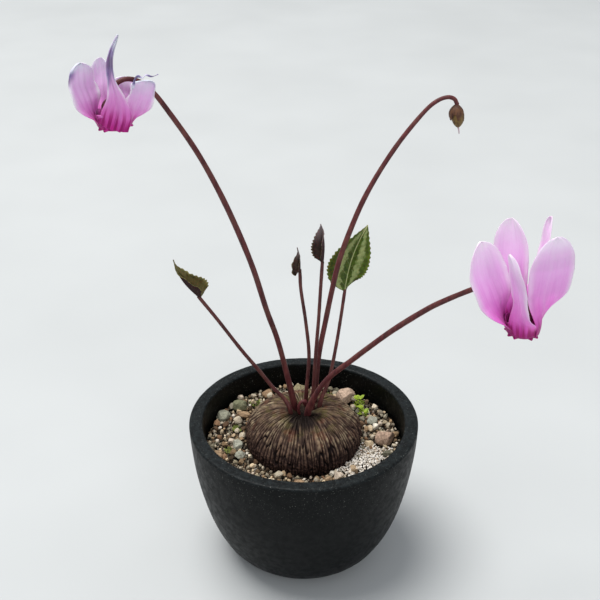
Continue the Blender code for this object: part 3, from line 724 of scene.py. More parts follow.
def add_stones():
    """Each larger stone keeps its CAD place, with worn flats and a rough skin added."""
    for k, node in enumerate(sorted(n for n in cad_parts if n.startswith("stone_"))):
        source = bmesh.new()
        source.from_mesh(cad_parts[node].data)
        bmesh.ops.remove_doubles(source, verts=source.verts, dist=WELD)
        bmesh.ops.subdivide_edges(source, edges=source.edges, cuts=5, use_grid_fill=True, smooth=1.0)
        at = np.array([v.co[:] for v in source.verts]) / MM
        faces = [[v.index for v in f.verts] for f in source.faces]
        source.free()
        middle, half = (at.min(0) + at.max(0)) / 2, (at.max(0) - at.min(0)) / 2
        draw = np.random.default_rng(100 + k)
        unit = with_flats((at - middle) / half, draw, 14, (0.62, 0.92), 0.85)
        rough = 1.04 + lumps(unit, Vector((k * 5.3, 0, 0)), (2.2, 0.07), (6, 0.03))
        points = middle + unit * rough[:, None] * half * LARGER_STONES.get(node, 1.0)
        finish = STONE_SKINS.get(node, STONE_BEIGE)
        tint = {"tint": np.full(len(unit), draw.uniform())}
        piece = add_mesh(node + "_rough", points, faces, finish, tint, sharp=60)
        settle(piece, "stone_grey" if finish == STONE_GREY else "stone_beige", node)


def add_perlite():
    """Fine white crumbs, thick over their heap and thinner round it."""
    draw = np.random.default_rng(9)
    heap = surface("perlite_patch", lowest=SOIL_LEVEL + 1.2)
    soil = surface("soil", lowest=SOIL_LEVEL)
    tuber = surface("tuber")
    middle = middle_of("perlite_patch", 0)
    neck, wall = TUBER_RADIUS - 1, inner_radius(41.5) - 0.2

    def ground(x, y):
        top = heap(x, y)
        if top is not None:
            return top
        scarce = draw.uniform() > smooth(12.5, 6.5, math.hypot(x - middle.x, y - middle.y))
        z = soil(x, y)
        return None if scarce or z is None or tuber(x, y) is not None else z + 0.7

    shapes = [rock(s, 2, 12) for s in range(80, 92)]
    under = thrown(draw, ground, 9000, (0.45, 0.75), (-0.5, 0.0), 0.60, neck, wall)
    pile("perlite_under", under, shapes, PERLITE, "perlite_white", 30)
    over = thrown(draw, ground, 9000, (0.26, 0.58), (0.5, 1.5), 0.86, neck, wall)
    pile("perlite_crumbs", over, shapes, PERLITE, "perlite_white", 31, "perlite_patch")


# ---------------------------------------------------------------- tuber

def tuber_point(angle):
    """Radius and height of the tuber's smooth skin at an angle from its top."""
    half = TUBER_UP if angle < math.pi / 2 else TUBER_DOWN
    radius = TUBER_RADIUS * max(math.sin(angle), 0.0) ** TUBER_BLUNT
    z = TUBER_MIDDLE + half * math.cos(angle)
    if angle < math.pi / 2:
        z -= CROWN_DIMPLE * math.exp(-(radius / CROWN_WIDTH) ** 2)
    return radius, z


def cork(turn, angle):
    """How far the cork stands out (0 to 1) at a turn round the tuber and an angle from its top."""
    swirl = turn + 0.03 * ring_noise(turn, angle, 3, 1.5)
    drift = 3.2 * ring_noise(turn, angle, 7, 0.7)
    many = abs(math.sin(RIDGES * swirl + drift)) ** 0.6
    few = abs(math.sin(RIDGES / 2 * swirl + drift)) ** 0.6
    ridge = few + (many - few) * smooth(0.45, 0.85, angle)
    link = 0.72 + 0.42 * ring_noise(turn, angle, 13, 8.0)
    thread = abs(math.sin(RIDGES * 2.5 * swirl + 5 * ring_noise(turn, angle, 12, 2)))
    crumb = 0.5 + ring_noise(turn, angle, 30, 22)
    split = noise.noise(spoke(turn, 11, angle * 1.1) + Vector((7, 0, 0)))
    crack = math.exp(-(split / 0.04) ** 2) * smooth(0.35, 0.6, angle)
    low = smooth(1.25, 1.8, angle)
    stand = ridge * link * (0.78 - 0.38 * low) + 0.16 * thread + (0.10 + 0.34 * low) * crumb
    return max(stand - 0.7 * crack, 0.0)


def painted_crown_shade(flat):
    """How much painted shade darkens the skin here, in the crown's hollow round the stalks' feet: 1 in its
    middle, with an uneven edge.
    """
    away = math.hypot((flat.x - CROWN_SHADE_MIDDLE[0]) * 1.35, flat.y - CROWN_SHADE_MIDDLE[1])
    return 0.97 * math.exp(-(away / (CROWN_SHADE_RADIUS + 2.4 * noise.noise(flat * 0.5))) ** 6)


def add_tuber():
    """The tuber's skin: corky ridges on a smooth outline, with scars of old stalks at the crown."""
    angles = [*np.linspace(CORK_TOP, CORK_TURN, CORK_ROWS)]
    angles += [*np.linspace(CORK_TURN, CORK_FOOT, CORK_FOOT_ROWS)[1:]]
    points, relief, up, crown_shade = [], [], [], []
    for angle in angles:
        radius, z = tuber_point(angle)
        next_radius, next_z = tuber_point(angle + 0.01)
        slope = math.atan2(next_radius - radius, z - next_z)
        out, rise = math.cos(slope), math.sin(slope)
        crown = math.exp(-(radius / 3.4) ** 2)
        for k in range(CORK_SIDES):
            turn = 2 * math.pi * k / CORK_SIDES
            h = cork(turn, angle)
            flat = spoke(turn, radius, z)
            stand = (h - 0.5) * CORK_DEPTH * smooth(1.0, 5.0, radius) + 0.45 * noise.noise(flat * 0.13)
            scar = (0.7 * noise.noise(flat * 0.9) + 0.3 * noise.noise(flat * 2.6)) * crown
            points.append(spoke(turn, radius + stand * out, z + stand * rise + scar))
            relief.append(h)
            up.append((z - (TUBER_MIDDLE - 4)) / (TUBER_UP + 4))
            # How much painted shade the crown's hollow gets at this point.
            crown_shade.append(painted_crown_shade(flat))
    last = (len(angles) - 1) * CORK_SIDES
    faces = quads(len(angles), CORK_SIDES)
    faces += [tuple(range(CORK_SIDES)), tuple(range(last, last + CORK_SIDES))]
    values = {"relief": relief, "up": up, "crown_shade": crown_shade}
    settle(add_mesh("tuber_cork", points, faces, CORK, values), "tuber_cork", "tuber")


def root_path(k):
    """The route of a root from under the tuber outwards and down; every second one bends the other way."""
    a = 2 * math.pi * (k + 0.35) / ROOT_COUNT
    out, turn = spoke(a), spoke(a + math.pi / 2)
    start = out * 5.0 + Vector((0, 0, TUBER_MIDDLE - TUBER_DOWN + 1.6))
    stops = [start, start + out * 3.0 + Vector((0, 0, -6.0)),
             start + out * 6.5 + turn * (1.5 if k % 2 else -1.5) + Vector((0, 0, -11.5)),
             start + out * 8.5 + turn * (3.0 if k % 2 else -2.0) + Vector((0, 0, -16.0))]
    return spline(stops, 0.8)


def add_roots():
    """The main roots, which taper as they run down into the soil."""
    roots = [tube(root_path(k), lambda share: 1.15 - 0.7 * share, 14) for k in range(ROOT_COUNT)]
    points, faces, _ = joined(roots)
    settle(add_mesh("tuber_roots", points, faces, ROOTS), "tuber_cork")


def crown_height(x, y):
    """Height of the tuber's smooth upper skin over a point."""
    share = min((math.hypot(x, y) / TUBER_RADIUS) ** (1 / TUBER_BLUNT), 1.0)
    return tuber_point(math.asin(share))[1]


# ---------------------------------------------------------------- stalks

# Route stops of each stalk, foot first; the foot stands on the crown.
FLOWER_STALKS = {
    "flower_stalk_left": [
        (-2.6, 1.2), (-3.2, 1.0, 55.6), (-5.1, 0, 65.9), (-8.2, -2, 81.3), (-11.4, -4, 93.1),
        (-14.9, -7, 108.3), (-19.1, -10, 122.6), (-23.8, -13, 136.1), (-29.2, -16, 148.9),
        (-35.8, -18, 160.6), (-39.4, -18.6, 165.9), (-42.6, -19.4, 168.7), (-45.6, -20.6, 169.6),
        (-48.2, -21.6, 168.4), (-49.2, -22.0, 165.7)],
    "flower_stalk_middle": [
        (3.4, 4.4), (3.6, 4.5, 58.0), (5.0, 4.9, 72.4), (7.0, 6.2, 83.8), (8.9, 8, 93.7),
        (11.1, 10, 103.2), (14.4, 12, 112.6), (18.3, 14, 121.8), (23.3, 16, 130.8),
        (29.3, 18, 139.7), (36.0, 19.8, 147.8), (39.7, 20.4, 151.0), (42.8, 20.7, 152.1),
        (44.9, 20.7, 151.6), (45.7, 20.6, 150.3)],
    "flower_stalk_right": [
        (1.2, -2.6), (1.7, -3.0, 56.2), (4.6, -4.2, 63.8), (8.4, -5.6, 70.2), (14.8, -9, 78.3),
        (18.5, -12, 83.7), (26.0, -18, 94.2), (34.1, -26, 105.4), (38.8, -31, 111.3),
        (44.2, -36, 117.0), (49.5, -39.7, 121.5), (53.2, -42.6, 122.8), (56.1, -44.6, 121.2),
        (57.0, -45.0, 117.6)],
}
LEAF_STALKS = {
    "leaf_stalk_left": [
        (-4.2, -2.4), (-4.7, -2.6, 56.4), (-6.5, -1.8, 59.4), (-9.9, -2, 63.6), (-14.3, -3, 70.9),
        (-19.4, -5, 79.5), (-26.1, -7, 91.3), (-30.7, -8.0, 98.8)],
    "leaf_stalk_back": [
        (0.6, 3.4), (1.0, 3.5, 60.0), (1.7, 4.2, 72.0), (0.6, 5, 84.0), (-0.9, 6, 94.7),
        (-1.2, 6.5, 100.1)],
    "leaf_stalk_centre": [
        (2.9, 1.1), (3.1, 1.1, 59.3), (3.9, 1, 75.8), (4.6, 1, 86.8), (5.1, 1, 97.4),
        (5.5, 1, 105.4)],
    "leaf_stalk_right": [
        (5.1, 1.3), (5.9, 1.9, 57.2), (8.3, 3.6, 63.2), (10.4, 7, 73.2), (12.0, 10.5, 82.6),
        (13.05, 13.1, 89.6)],
}
FOOT_DEPTH = 0.6               # how deep a stalk's foot sits in the crown's cork
FLOWER_REACH = 0.5             # how far a stalk runs on into what it carries
LEAF_REACH = 1.5
STALK_STEP = 0.6               # between two rings of a stalk's skin
FLOWER_STALK_THINS = 0.22
LEAF_STALK_THINS = 0.08


def stalk_path(stops, step, reach):
    """A stalk's route from its foot in the crown's cork to `reach` past its last stop."""
    x, y = stops[0]
    path = spline([(x, y, crown_height(x, y) - FOOT_DEPTH), *stops[1:]], step)
    onward = (path[-1] - path[-2]).normalized()
    return path + [path[-1] + onward * reach * k / 3 for k in (1, 2, 3)]


def add_stalk(name, path, thick, sides, finish, slot):
    """One stalk's skin; thick gives its radius by the share of the way."""
    points, faces, shares = tube(path, thick, sides)
    settle(add_mesh(name + "_skin", points, faces, finish, {"along": shares}), slot, name)


def stalk_radius(base, foot, foot_share, seed):
    """A stalk's radius by its share of the way: thicker at the foot, with faint knots."""
    def thick(share):
        knot = 0.04 * noise.noise(Vector((share * 26, seed, base * 9)))
        return base * (1 + foot * (1 - smooth(0, foot_share, share))) + knot
    return thick


def add_stalks():
    """Flower stalks thin out over their upper half, leaf stalks a little all the way."""
    for name, stops in FLOWER_STALKS.items():
        even = stalk_radius(FLOWER_STALK, 0.38, 0.14, len(stops))
        path = stalk_path(stops, STALK_STEP, FLOWER_REACH)
        add_stalk(name, path, lambda share: even(share) - FLOWER_STALK_THINS * smooth(0.5, 1, share),
                  24, FLOWER_STALK_SKIN, "flower_stalk")
    for name, stops in LEAF_STALKS.items():
        even = stalk_radius(LEAF_STALK, 0.30, 0.20, len(stops))
        path = stalk_path(stops, STALK_STEP, LEAF_REACH)
        add_stalk(name, path, lambda share: even(share) - LEAF_STALK_THINS * share,
                  20, LEAF_STALK_SKIN, "leaf_stalk")


def add_new_bud():
    """The youngest flower bud, still bowed over on its short stalk between the others."""
    stops = [(-1.3, -0.9), (-1.7, -1.0, 54.6), (-1.2, -0.7, 56.6), (0.0, -0.2, 57.0), (0.7, 0.0, 56.0)]

    def thick(share):
        return 0.5 + 0.34 * smooth(0.62, 0.85, share) - 0.5 * smooth(0.9, 1.0, share)
    add_stalk("new_flower_bud", stalk_path(stops, 0.15, FLOWER_REACH), thick, 20, FLOWER_STALK_SKIN,
              "flower_stalk")


# ---------------------------------------------------------------- flowers

# A petal's root sits at `azimuth` degrees on the mouth. `root` is its half width there and `width`
# its full width at `peak`, a share of its length; it starts to widen at `waist`, and a larger
# `blunt` makes its end squarer. Its tip lies `reach` from the flower's axis and `height` over the
# mouth. `bow` and `belly` swing it out sooner, `sweep` and `sway` bend it to the side, and it twists
# like a propeller's blade by `turn` degrees. From `dry_from` on it dries by the share `dry`, sooner
# on one side by `dry_side`; its margins roll in by `roll`, and a `withered` petal ends in a thread.
USUAL_PETAL = dict(root=2.75, peak=0.6, waist=-0.2, blunt=2.2, bow=1.7, belly=0.0, sweep=0.0, sway=0.0,
                   dry=0.0, dry_from=0.8, dry_side=0.0, roll=0.0, withered=False)
RIGHT_PETALS = {
    "left": dict(azimuth=185, reach=13.3, height=26.0, turn=60, width=11.8, bow=1.3),
    "back_left": dict(azimuth=115, reach=9.5, height=28.2, turn=60, width=9.8, bow=1.3),
    "back_right": dict(azimuth=55, reach=10.7, height=28.5, turn=50, width=8.6, bow=1.5),
    "right": dict(azimuth=350, reach=5.8, height=27.2, turn=60, width=13.2, root=3.2, belly=0.5,
                  dry=0.3, dry_from=0.3),
    "front": dict(azimuth=255, reach=10.4, sweep=-5, height=26.2, turn=60, width=8.8, root=3.1,
                  dry=0.2, dry_from=0.5),
}
LEFT_PETALS = {
    "left": dict(azimuth=192, reach=6.6, sweep=-0.8, height=16.2, turn=48, width=10.4, bow=1.3,
                 belly=1.2, peak=0.74, blunt=3.0, root=1.9, dry=1.0, dry_from=0.88, dry_side=-0.20,
                 roll=0.9),
    "back_left": dict(azimuth=120, reach=8.6, sweep=-1, height=15.4, turn=50, width=6.4, root=3.2,
                      dry=0.3),
    "back_right": dict(azimuth=60, reach=6.0, height=11.2, turn=0, width=8.6, root=3.2, blunt=4.0),
    "right": dict(azimuth=345, reach=8.6, sweep=0.6, height=12.2, turn=42, width=9.0, peak=0.8,
                  blunt=6.0, dry=1.0, dry_from=0.90, roll=1.1, withered=True),
    "front": dict(azimuth=272, reach=3.4, sweep=3.4, height=24.0, turn=20, width=2.0, peak=0.60,
                  waist=0.12, root=3.9, sway=1.2, belly=1.6, blunt=1.3, dry=0.9, dry_from=0.50, roll=0.5),
}
PETAL_ROWS, PETAL_COLUMNS = 84, 31
WITHERED_ROWS = 9              # rows below a petal's tip at which its withered end starts
WITHERED_STOPS = [(0.3, 0, -0.6), (0.9, -0.2, 1.5), (1.8, -0.3, 2.5), (2.8, 0, 2.0), (3.8, 0, 2.7),
                  (5.2, 0.2, 2.3), (6.8, 0.3, 2.8)]
LIP = 0.45                     # radius of the fold where a petal turns back at the mouth
LIP_ROWS = 8
WEB_ROWS = 18
WEB_HEIGHT = 3.7               # how far up the petals' feet are joined to each other
EAR_PLACE, EAR_HALF = 0.22, 0.17     # the pointed ears beside each join, in radians
EAR_REACH, EAR_DROP = 0.95, 0.20
MOUTH_COLUMNS = 240


def petal_width(shape, s):
    """Half width at share s of the length."""
    half, peak, root = shape["width"] / 2, shape["peak"], shape["root"]
    if s < peak:
        return root + (half - root) * smooth(shape["waist"], peak, s)
    share = (s - peak) / (1 - peak)
    return half * max(1 - share ** shape["blunt"], 0.0) ** 0.6 + 0.08


def petal_spine(shape, s):
    """The middle line's point at share s, and the directions outwards and sideways there."""
    a = math.radians(shape["azimuth"])
    out, turn = spoke(a), Vector((-math.sin(a), math.cos(a), 0))
    away = PETAL_ROOT + (shape["reach"] - PETAL_ROOT) * (1 - (1 - s) ** shape["bow"])
    away += shape["belly"] * math.sin(math.pi * s)
    aside = shape["sweep"] * s ** 1.5 + shape["sway"] * math.sin(2 * math.pi * s)
    return out * away + turn * aside + Vector((0, 0, shape["height"] * s)), out, turn


def petal_frame(shape, s):
    """Point on the spine, sideways direction and face direction at share s of the length."""
    here, out, turn = petal_spine(shape, s)
    s = min(max(s, 0.001), 0.999)
    along = (petal_spine(shape, s + 0.001)[0] - petal_spine(shape, s - 0.001)[0]).normalized()
    twist = math.radians(shape["turn"]) * smooth(0.04, 0.40, s)
    face = out * math.cos(twist) - turn * math.sin(twist)
    face = (face - along * face.dot(along)).normalized()
    return here, face.cross(along), face


def petal_relief(s, t, w, seed):
    """How far a petal stands out along its face, at share s of its length and t (-1 to 1) across it."""
    grown = smooth(0.05, 0.4, s)
    wave = 0.9 * noise.noise(Vector((s * 3.4, t * 1.2, seed)))
    frill = 0.35 * noise.noise(Vector((s * 8.0, t * 3.0, seed + 5))) * abs(t) ** 3
    pleat = 0.06 * math.cos(t * 17 + 3 * s) * (1 - t * t)
    cup = -(0.30 - 0.18 * grown) * w * t * t
    furrow = -0.35 * math.exp(-(t / 0.22) ** 2) * smooth(0.0, 0.15, s) * smooth(0.95, 0.4, s)
    return cup + pleat + furrow + (wave + frill) * grown * 0.8


def petal_dryness(shape, s, t, seed):
    """How dried up the petal is here, 0 to its own `dry`."""
    patch = 0.10 * noise.noise(Vector((s * 6, t * 2.5, seed + 9)))
    lean = 0.10 * t * t + shape["dry_side"] * t
    return shape["dry"] * smooth(shape["dry_from"], shape["dry_from"] + 0.16, s + patch + lean)


def petal_grid(shape, seed):
    """The petal's points, with their thickness, shares along and across it and dryness."""
    size = (PETAL_ROWS, PETAL_COLUMNS)
    points = np.zeros((*size, 3))
    thick, along, across, dry = np.zeros((4, *size))
    for i in range(PETAL_ROWS):
        s = i / (PETAL_ROWS - 1)
        here, side, face = petal_frame(shape, s)
        w = petal_width(shape, s)
        for j in range(PETAL_COLUMNS):
            t = 2 * j / (PETAL_COLUMNS - 1) - 1
            margin = shape["roll"] * smooth(0.55, 1.0, abs(t)) ** 2 * smooth(0.45, 0.8, s)
            stand = petal_relief(s, t, w, seed) + margin
            points[i, j] = here + side * w * t * (1 - 0.25 * margin) + face * stand
            thick[i, j] = 0.30 - 0.16 * max(abs(t), s) ** 3
            dry[i, j] = petal_dryness(shape, s, t, seed)
            along[i, j], across[i, j] = s, t
    return points, thick, along, across, dry


def fold_point(i, ear):
    """Radius and height of the mouth's fold at row i; an ear draws it out to a point."""
    turn = -math.pi * (1 - i / LIP_ROWS)
    bulge = math.sin(math.pi * (i / LIP_ROWS) ** 0.8) * ear
    return (PETAL_ROOT - LIP + LIP * math.cos(turn) + EAR_REACH * bulge,
            0.1 + LIP * math.sin(turn) - EAR_DROP * bulge)


def web_point(i, place, join, neighbours):
    """Radius and height of the web between two petals' feet at row i, and its share of their length."""
    z = (i - LIP_ROWS) / (WEB_ROWS - 1) * (WEB_HEIGHT - 1.6 * (1 - join) ** 2)
    share = [z / p["height"] for p in neighbours]
    reach = [petal_spine(p, s)[0].xy.length for p, s in zip(neighbours, share)]
    r = reach[0] + (reach[1] - reach[0]) * smooth(0, 1, place)
    r -= 0.25 + 0.45 * smooth(0.5, 3.0, z)
    r = max(r, PETAL_ROOT - 0.28) + 0.28 * join * smooth(1.5, 0.0, z)
    return r, z, share[0] + (share[1] - share[0]) * place


def add_mouth(side, mouth, petals, finish, slot):
    """The corolla's mouth: a fold with small pointed ears, and the webs that join the petals' feet."""
    shapes = sorted(petals.values(), key=lambda p: p["azimuth"])
    size = (LIP_ROWS + WEB_ROWS, MOUTH_COLUMNS + 1)
    points = np.zeros((*size, 3))
    along, across = np.zeros((2, *size))
    for j in range(MOUTH_COLUMNS + 1):
        degrees = 360 * j / MOUTH_COLUMNS
        after = next((k for k, p in enumerate(shapes) if p["azimuth"] > degrees), 0)
        first, second = shapes[after - 1], shapes[after]
        gap = (second["azimuth"] - first["azimuth"]) % 360
        place = (degrees - first["azimuth"]) % 360 / gap
        join = 1 - abs(2 * place - 1)
        ear = max(0.0, 1 - abs(abs(place - 0.5) * math.radians(gap) - EAR_PLACE) / EAR_HALF)
        for i in range(size[0]):
            if i < LIP_ROWS:
                r, z = fold_point(i, ear)
            else:
                r, z, along[i, j] = web_point(i, place, join, (first, second))
            across[i, j] = join
            points[i, j] = mouth + spoke(math.radians(degrees), r, z)
    body, faces = thin_body(points, np.full(size, 0.30))
    values = {"along": twice(along), "across": twice(across)}
    settle(add_mesh(f"{side}_corolla_mouth", body, faces, finish, values), slot)


def add_petal(name, node, mouth, shape, finish, slot, seed):
    """One petal, and the thread at its end if it has withered."""
    grid, thick, along, across, dry = petal_grid(shape, seed)
    points, faces = thin_body(grid + np.array(mouth), thick)
    values = {"along": twice(along), "across": twice(across), "dry": twice(dry)}
    settle(add_mesh(name, points, faces, finish, values), slot, node)
    if shape["withered"]:
        top = grid[-WITHERED_ROWS]
        corner = Vector(min(top[0], top[-1], key=lambda p: p[0])) + mouth
        add_withered_tip(name + "_withered_tip", corner, finish, slot)


def add_withered_tip(name, corner, finish, slot):
    """The dried end of a petal, drawn out from its corner to a crinkled thread."""
    path = spline([corner + Vector(stop) for stop in WITHERED_STOPS], 0.15)
    points, faces, shares = tube(path, lambda s: 0.36 - 0.24 * s + 0.07 * math.sin(19 * s), 12)
    shares = np.array(shares)
    values = {"along": 0.84 + 0.10 * np.cos(11 * shares), "across": 0.5 * np.sin(9 * shares),
              "dry": np.ones(len(shares))}
    settle(add_mesh(name, points, faces, finish, values), slot)


def add_corolla_tube(side, mouth, petals):
    """The short funnel behind the petals, fluted, and dark inside."""
    middle = [math.radians(p["azimuth"]) for p in petals.values()]
    wide, narrow, top = MOUTH_RADIUS - 0.15, 2.5, TUBE_HEIGHT

    def flute(radius, z, angle):
        nearest = min(abs((angle - m + math.pi) % (2 * math.pi) - math.pi) for m in middle)
        fold = 0.22 * math.cos(nearest * 5) * (1 - z / top) * min(radius / wide, 1.0)
        return radius + fold, z + 0.1
    steps = [k / 14 for k in range(15)]
    outside = [(wide + (narrow - wide) * smooth(0, 0.8, h), top * h * 0.92) for h in steps]
    inside = [(r - 0.35, z + 0.05) for r, z in outside[::-1]]
    profile = [(0, top * 0.80), (narrow * 0.5, top * 0.83), *inside[1:], *outside,
               (narrow * 0.6, top * 0.97), (0, top * 0.985)]
    points, faces = lathe(profile, 90, flute)
    piece = add_mesh(f"{side}_corolla_tube", [mouth + Vector(p) for p in points], faces, MAGENTA)
    settle(piece, "corolla_magenta", f"{side}_flower_tube")


def sepals(name, top, height, radius, finish, node, flare=0.0):
    """A calyx: one cup that divides into five pointed lobes with a raised rib each."""
    rows, columns, lobes = 26, 90, 5
    points = np.zeros((rows, columns + 1, 3))
    thick = np.zeros((rows, columns + 1))
    for i in range(rows):
        h = i / (rows - 1)
        thick[i] = 0.30 - 0.18 * h
        for j in range(columns + 1):
            a = 2 * math.pi * j / columns
            lobe = abs(math.cos(lobes * a / 2))
            fall = h * (0.55 + 0.45 * lobe ** 1.6)
            r = radius * math.sin(min(fall * 1.5, 1.0) * math.pi / 2) ** 0.7 + flare * fall ** 3
            r += 0.10 * lobe ** 8 * h + 0.05 * ring_noise(a, h, 4, 4)
            points[i, j] = top + spoke(a, r, -height * fall)
    body, faces = thin_body(points, thick)
    settle(add_mesh(name, body, faces, finish), "calyx_brown", node)


def add_stamens(side, mouth):
    """Five anthers that meet in a cone round the style, inside the corolla tube."""
    ceiling = TUBE_HEIGHT - 1.3
    bodies = []
    for k in range(5):
        a = 2 * math.pi * k / 5
        stops = [mouth + spoke(a, r, z) for r, z in ((0.85, ceiling), (0.75, 3.4), (0.25, 1.4))]
        bodies.append(tube(spline(stops, 0.2), lambda share: 0.46 - 0.34 * share, 12))
    style = [mouth + Vector((0, 0, ceiling)), mouth + Vector((0, 0, -0.1))]
    bodies.append(tube(spline(style, 0.3), lambda share: 0.22, 12))
    points, faces, _ = joined(bodies)
    piece = add_mesh(f"{side}_stamens", points, faces, ANTHER)
    settle(piece, "anther_yellow", f"{side}_flower_stamens")


def add_flower(side, petals, finish, slot):
    """A flower round its CAD mouth: tube, stamens, mouth, calyx and petals."""
    petals = {place: USUAL_PETAL | shape for place, shape in petals.items()}
    mouth = mouth_of(side)
    add_corolla_tube(side, mouth, petals)
    add_stamens(side, mouth)
    add_mouth(side, mouth, petals, finish, slot)
    calyx = f"{side}_flower_calyx"
    calyx_top = Vector((mouth.x, mouth.y, low_high(calyx)[1].z))
    sepals(f"{side}_sepals", calyx_top, 3.9, 2.9, CALYX_DARK, calyx)
    for k, (place, shape) in enumerate(petals.items()):
        node = f"{side}_flower_petal_{place}"
        add_petal(f"{side}_petal_{place}", node, mouth, shape, finish, slot, k * 7.7)


def bowed(start, end, step):
    """A path from start to end that bows slightly to the right."""
    return spline([start, start.lerp(end, 0.5) + Vector((0.1, 0, 0)), end], step)


def add_seed_pod():
    """The spent flower: a swollen pod under its dried calyx, with the style left at its tip."""
    low, high = low_high("seed_pod")
    top = middle_of("seed_pod_calyx", high.z + 0.2)
    tip = Vector((high.x - 1.3, (low.y + high.y) / 2, low.z + 0.1))

    def swell(s):
        return 0.25 + 1.80 * math.sin(math.pi * min(0.05 + 0.93 * s, 1.0)) ** 0.7
    points, faces, shares = tube(bowed(top, tip, 0.2), swell, 40)
    ribbed = []
    for p, share in zip(points, shares):
        axis = top.lerp(tip, share)
        a = math.atan2(p.y - axis.y, p.x - axis.x)
        crease = 1 - 0.05 * abs(math.sin(2.5 * a)) - 0.05 * noise.noise(p * 1.6)
        ribbed.append(axis + (p - axis) * crease)
    settle(add_mesh("seed_pod_skin", ribbed, faces, POD), "seed_pod_brown", "seed_pod")
    calyx_top = middle_of("seed_pod_calyx", low_high("seed_pod_calyx")[1].z)
    sepals("seed_pod_sepals", calyx_top, 4.6, 2.25, CALYX, "seed_pod_calyx", flare=-0.25)
    low, high = low_high("seed_pod_style")
    start = Vector((low.x + 0.3, (low.y + high.y) / 2, high.z + 0.4))
    end = Vector((high.x - 0.2, start.y, low.z))
    points, faces, _ = tube(bowed(start, end, 0.15), lambda share: 0.26 - 0.12 * share, 14)
    settle(add_mesh("seed_pod_thread", points, faces, STYLE), "style_pink", "seed_pod_style")


# ---------------------------------------------------------------- leaves

# A leaf's midrib runs from `base` to `tip`, bows away from `face`, where its upper side looks, and
# bends `aside`. Pairs are for its left and right half: `halves` are their widths, `folds` their
# angles towards the face, `peaks` where each is widest as a share of the length, and `lobes` how far
# its foot reaches back, or forward where that is negative. A smaller number in `bases` makes the
# foot rounder, and a larger `taper` the tip slimmer. `teeth` are counted along an edge.
USUAL_LEAF = dict(aside=0.0, peaks=(0.33, 0.33), taper=1.15)
LEAVES = {
    "leaf_left": dict(base=(-30.9, -8.05, 99.3), tip=(-38.0, -10.0, 113.2), face=(0.85, -0.35, 0.4),
                      halves=(5.4, 5.6), folds=(62, 68), bow=1.7, lobes=(-0.22, -0.16), teeth=12,
                      bases=(0.4, 0.4), peaks=(0.24, 0.24), taper=1.6),
    "leaf_back": dict(base=(-1.25, 6.55, 101.2), tip=(-2.1, 7.0, 109.0), face=(-0.9, -0.5, 0.1),
                      halves=(2.7, 2.2), folds=(62, 62), bow=0.4, lobes=(0.25, 0.05), teeth=5,
                      bases=(0.4, 0.5), peaks=(0.25, 0.25), taper=1.6),
    "leaf_centre": dict(base=(5.6, 1.0, 106.1), tip=(4.9, 1.0, 119.6), face=(-0.8, -0.6, 0.0),
                        halves=(3.9, 3.7), folds=(55, 50), bow=1.0, lobes=(-0.04, -0.04), teeth=13,
                        bases=(0.9, 0.9), peaks=(0.40, 0.40)),
    "leaf_right": dict(base=(13.1, 13.2, 90.1), tip=(20.1, 16.0, 112.6), face=(-0.10, -1.0, 0.15),
                       halves=(7.2, 6.6), folds=(14, 32), bow=0.8, aside=-1.2, lobes=(-0.04, -0.15),
                       teeth=17, bases=(0.5, 0.85), peaks=(0.30, 0.47)),
}
FULL_FOLD_WIDTH = 3.5          # where a half is narrower than this, it folds less
LOBE_REACH = 0.28              # share of the length over which the basal lobes run
LEAF_ROWS, HALF_COLUMNS = 150, 26
TOOTH_POINT = 0.72             # where between two notches a tooth has its point


def leaf_width(shape, half, share):
    """Half width of the blade: round at the base, widest at its peak, drawn out to the tip."""
    peak = shape["peaks"][half]
    arc = math.sin(math.pi * share ** (math.log(0.5) / math.log(peak)))
    bend = shape["bases"][half] if share < peak else shape["taper"]
    return max(shape["halves"][half] * max(arc, 0.0) ** bend, 0.12)


def leaf_tooth(shape, half, share):
    """How far the edge's teeth stand out, up to 0.5 at a point, in shares of a tooth."""
    saw = (share * shape["teeth"] + 0.35 * half) % 1.0
    if saw < TOOTH_POINT:
        return 0.5 - TOOTH_POINT + saw
    return (1 - saw) / (1 - TOOTH_POINT) * 0.5


def leaf_relief(half, share, t, width, seed):
    """How far the blade is quilted and wavy here, and how strong its side vein is."""
    across = abs(t)
    slant = (share * 6.5 - across * 1.5 + 0.25 * half) % 1.0
    vein = math.exp(-((slant - 0.5) / 0.09) ** 2) * smooth(1.0, 0.6, across) * 0.45
    quilt = 0.16 * abs(math.sin(math.pi * slant)) * smooth(0.02, 0.3, across)
    wave = 0.5 * noise.noise(Vector((share * 4, t * 1.5, seed))) * across ** 1.5
    return (quilt + wave) * min(width / 4, 1), vein


